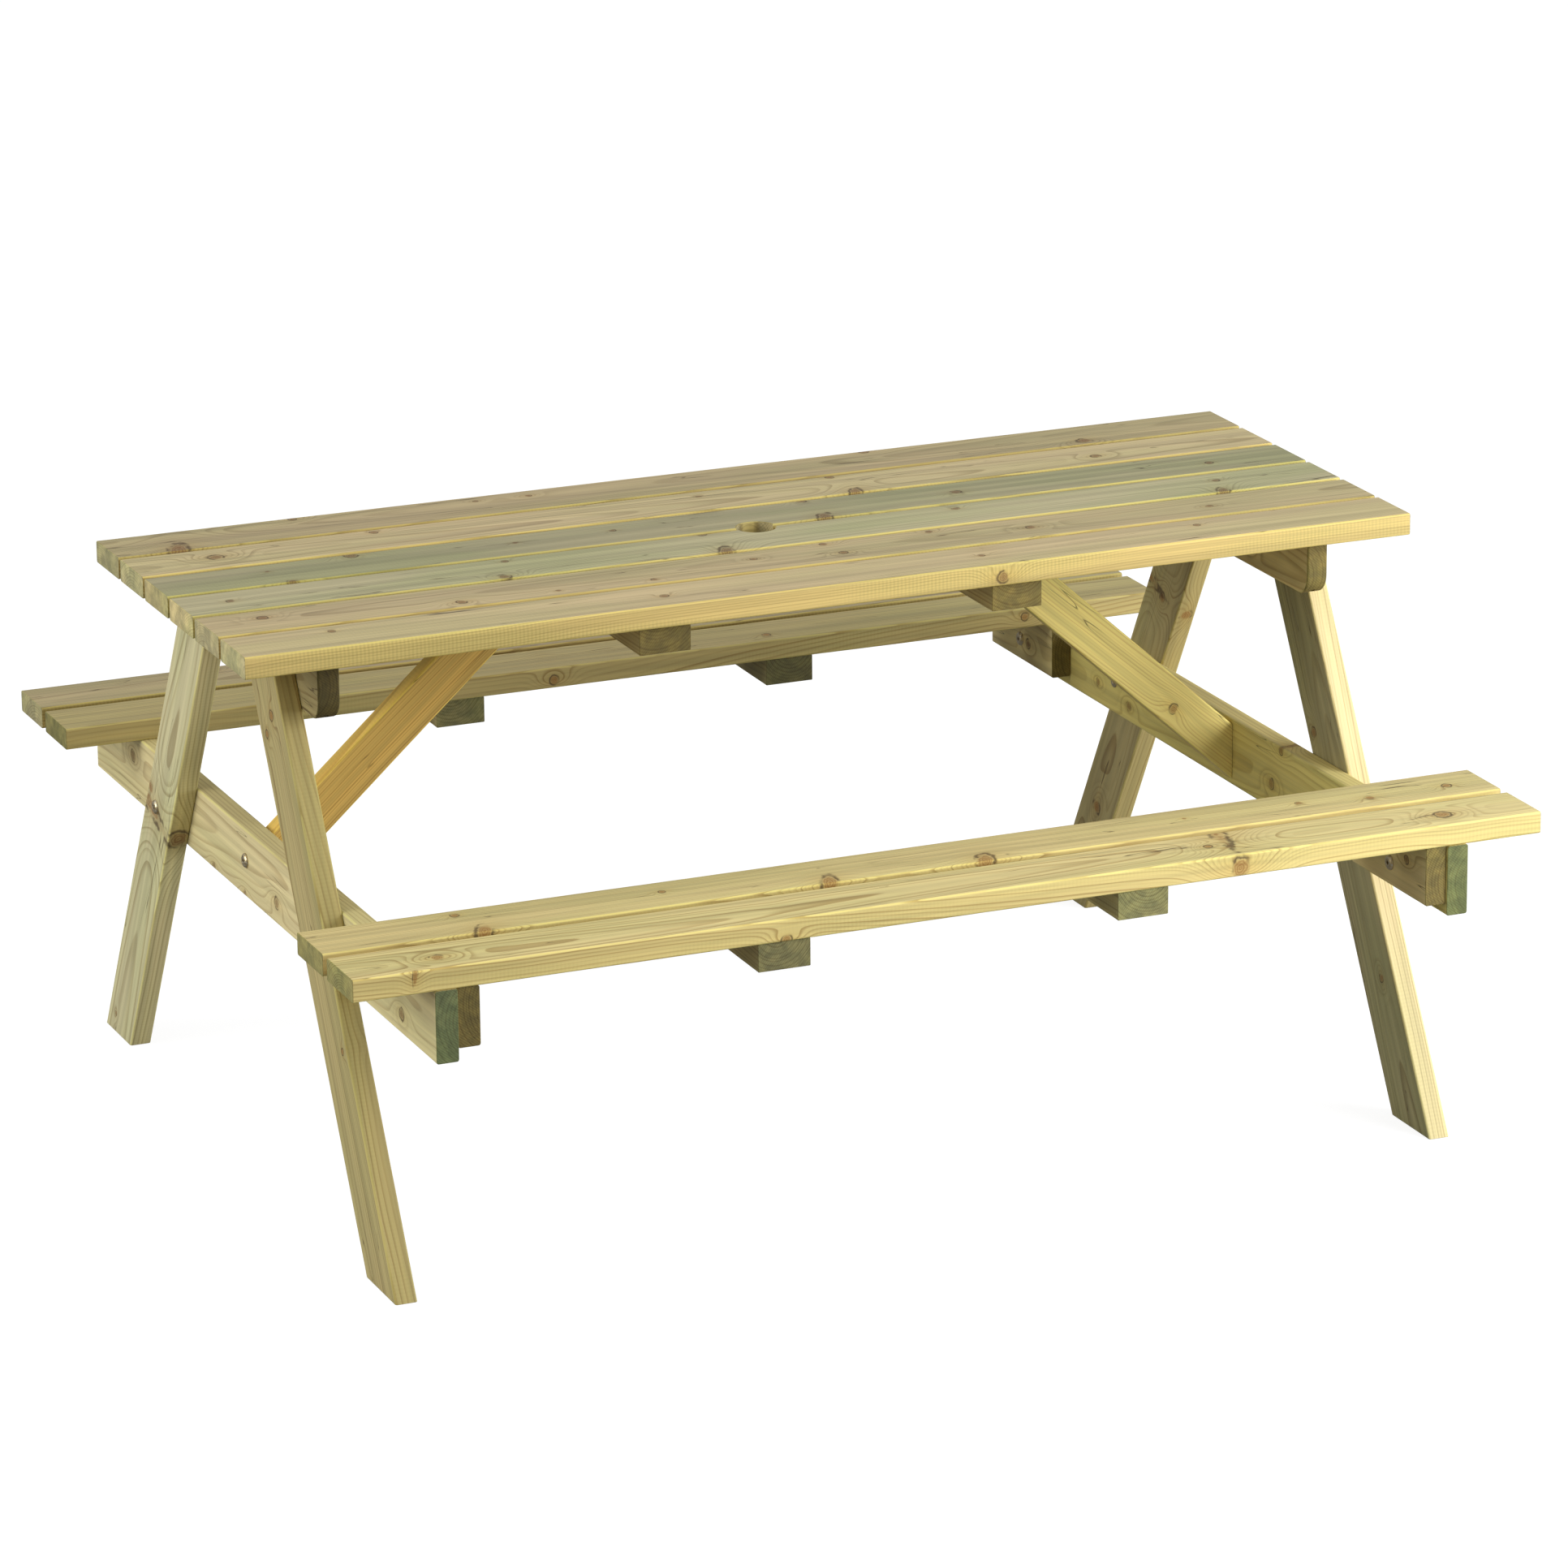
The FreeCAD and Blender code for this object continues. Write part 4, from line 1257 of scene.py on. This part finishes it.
def set_out(node, master_mesh, points, seed):
    """One piece with a copy of the master at each (position, direction)."""
    mesh = bpy.data.meshes.new("points")
    mesh.from_pydata([position for position, direction in points], [], [])
    drive = mesh.attributes.new("drive", "FLOAT_VECTOR", "POINT")
    for item, (position, direction) in zip(drive.data, points):
        item.vector = direction
    master = temporary("master", master_mesh)
    holder = temporary("points", mesh)
    modifier = holder.modifiers.new("set out", "NODES")
    modifier.node_group = set_out_tree
    set_inputs(modifier, {"Fastener": master, "Finish": zinc, "Seed": seed})
    result = evaluated_mesh(holder, node)
    bpy.data.objects.remove(holder)
    bpy.data.objects.remove(master)
    for polygon in result.polygons:
        polygon.use_smooth = True
    result.set_sharp_from_angle(angle=STEEL_SHARP_ANGLE)
    add_piece("zinc_" + node, result, zinc, "zinc_steel", node)


print("set out tree:", len(set_out_tree.nodes), "nodes")

# %% Fasteners in place
SCREW_SPREAD = 0.018


def outer_face(node):
    """The X of the face that is farther from the middle of the table."""
    low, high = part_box(node)
    return max(low.x, high.x, key=abs)


def inner_face(node):
    low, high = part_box(node)
    return min(low.x, high.x, key=abs)


def head_points(node, faces, inward):
    """Four heads on the given faces; the fastener node's box gives their height and spread."""
    low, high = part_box(node)
    reach = high.y - (NUT_FLANGE if "nuts" in node else FLANGE)
    height = (low.z + high.z) / 2
    points = []
    for x in faces:
        direction = Vector((-inward * math.copysign(1, x), 0, 0))
        for y in (-reach, reach):
            points.append((Vector((x, y, height)), direction))
    return points


def batten_screws(node, centres):
    """Two screws per plank, set diagonally, into the underside of a batten."""
    low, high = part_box(node)
    x = (low.x + high.x) / 2
    return [(Vector((x + shift, y + shift, low.z)), Z)
            for y in centres for shift in (-SCREW_SPREAD, SCREW_SPREAD)]


def bored_screws(node, centres):
    """One screw per plank, up through the counterbores of a rail on edge."""
    low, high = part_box(node)
    x = (low.x + high.x) / 2
    return [(Vector((x, y, low.z + COUNTERBORE)), Z) for y in centres]


SIDES = ("left", "right")
legs_out = [outer_face("leg_front_" + side) for side in SIDES]
rails_in = [inner_face("crossbar_" + side) for side in SIDES]
cleats_in = [inner_face("seat_cleat_front_" + side) for side in SIDES]
set_out("crossbar_bolts", frame_bolt, head_points("crossbar_bolts", legs_out, 1), 1)
set_out("bearer_bolts", frame_bolt, head_points("bearer_bolts", legs_out, 1), 2)
set_out("crossbar_nuts", sleeve_nut, head_points("crossbar_nuts", rails_in, -1), 3)
set_out("bearer_nuts", sleeve_nut, head_points("bearer_nuts", rails_in, -1), 4)
set_out("cleat_bolts", cleat_bolt, head_points("cleat_bolts", cleats_in, -1), 5)

brace_heads, brace_points = [], []
bolt_height = middle("brace_bolts").z
screw_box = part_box("brace_screws")
for side in SIDES:
    y = middle("brace_" + side).y
    x = outer_face("bearer_" + side)
    brace_heads.append((Vector((x, y, bolt_height)), Vector((-math.copysign(1, x), 0, 0))))
    screw_x = math.copysign(screw_box[1].x - SCREW_HEAD, x)
    brace_points.append((Vector((screw_x, y, screw_box[0].z)), Z))
set_out("brace_bolts", brace_bolt, brace_heads, 6)
set_out("brace_screws", brace_screw, brace_points, 7)

top_screws, seat_screws = [], []
for side in SIDES:
    top_screws += batten_screws("table_batten_" + side, plank_centres)
    top_screws += bored_screws("crossbar_" + side, plank_centres)
    for end in ("front", "back"):
        seat_screws += batten_screws("seat_batten_%s_%s" % (end, side), seat_centres[end])
        seat_screws += bored_screws("seat_cleat_%s_%s" % (end, side), seat_centres[end])
set_out("tabletop_screws", plank_screw, top_screws, 8)
set_out("seat_screws", plank_screw, seat_screws, 9)
print(len(top_screws) + len(seat_screws), "screws under the tabletop and the seats")
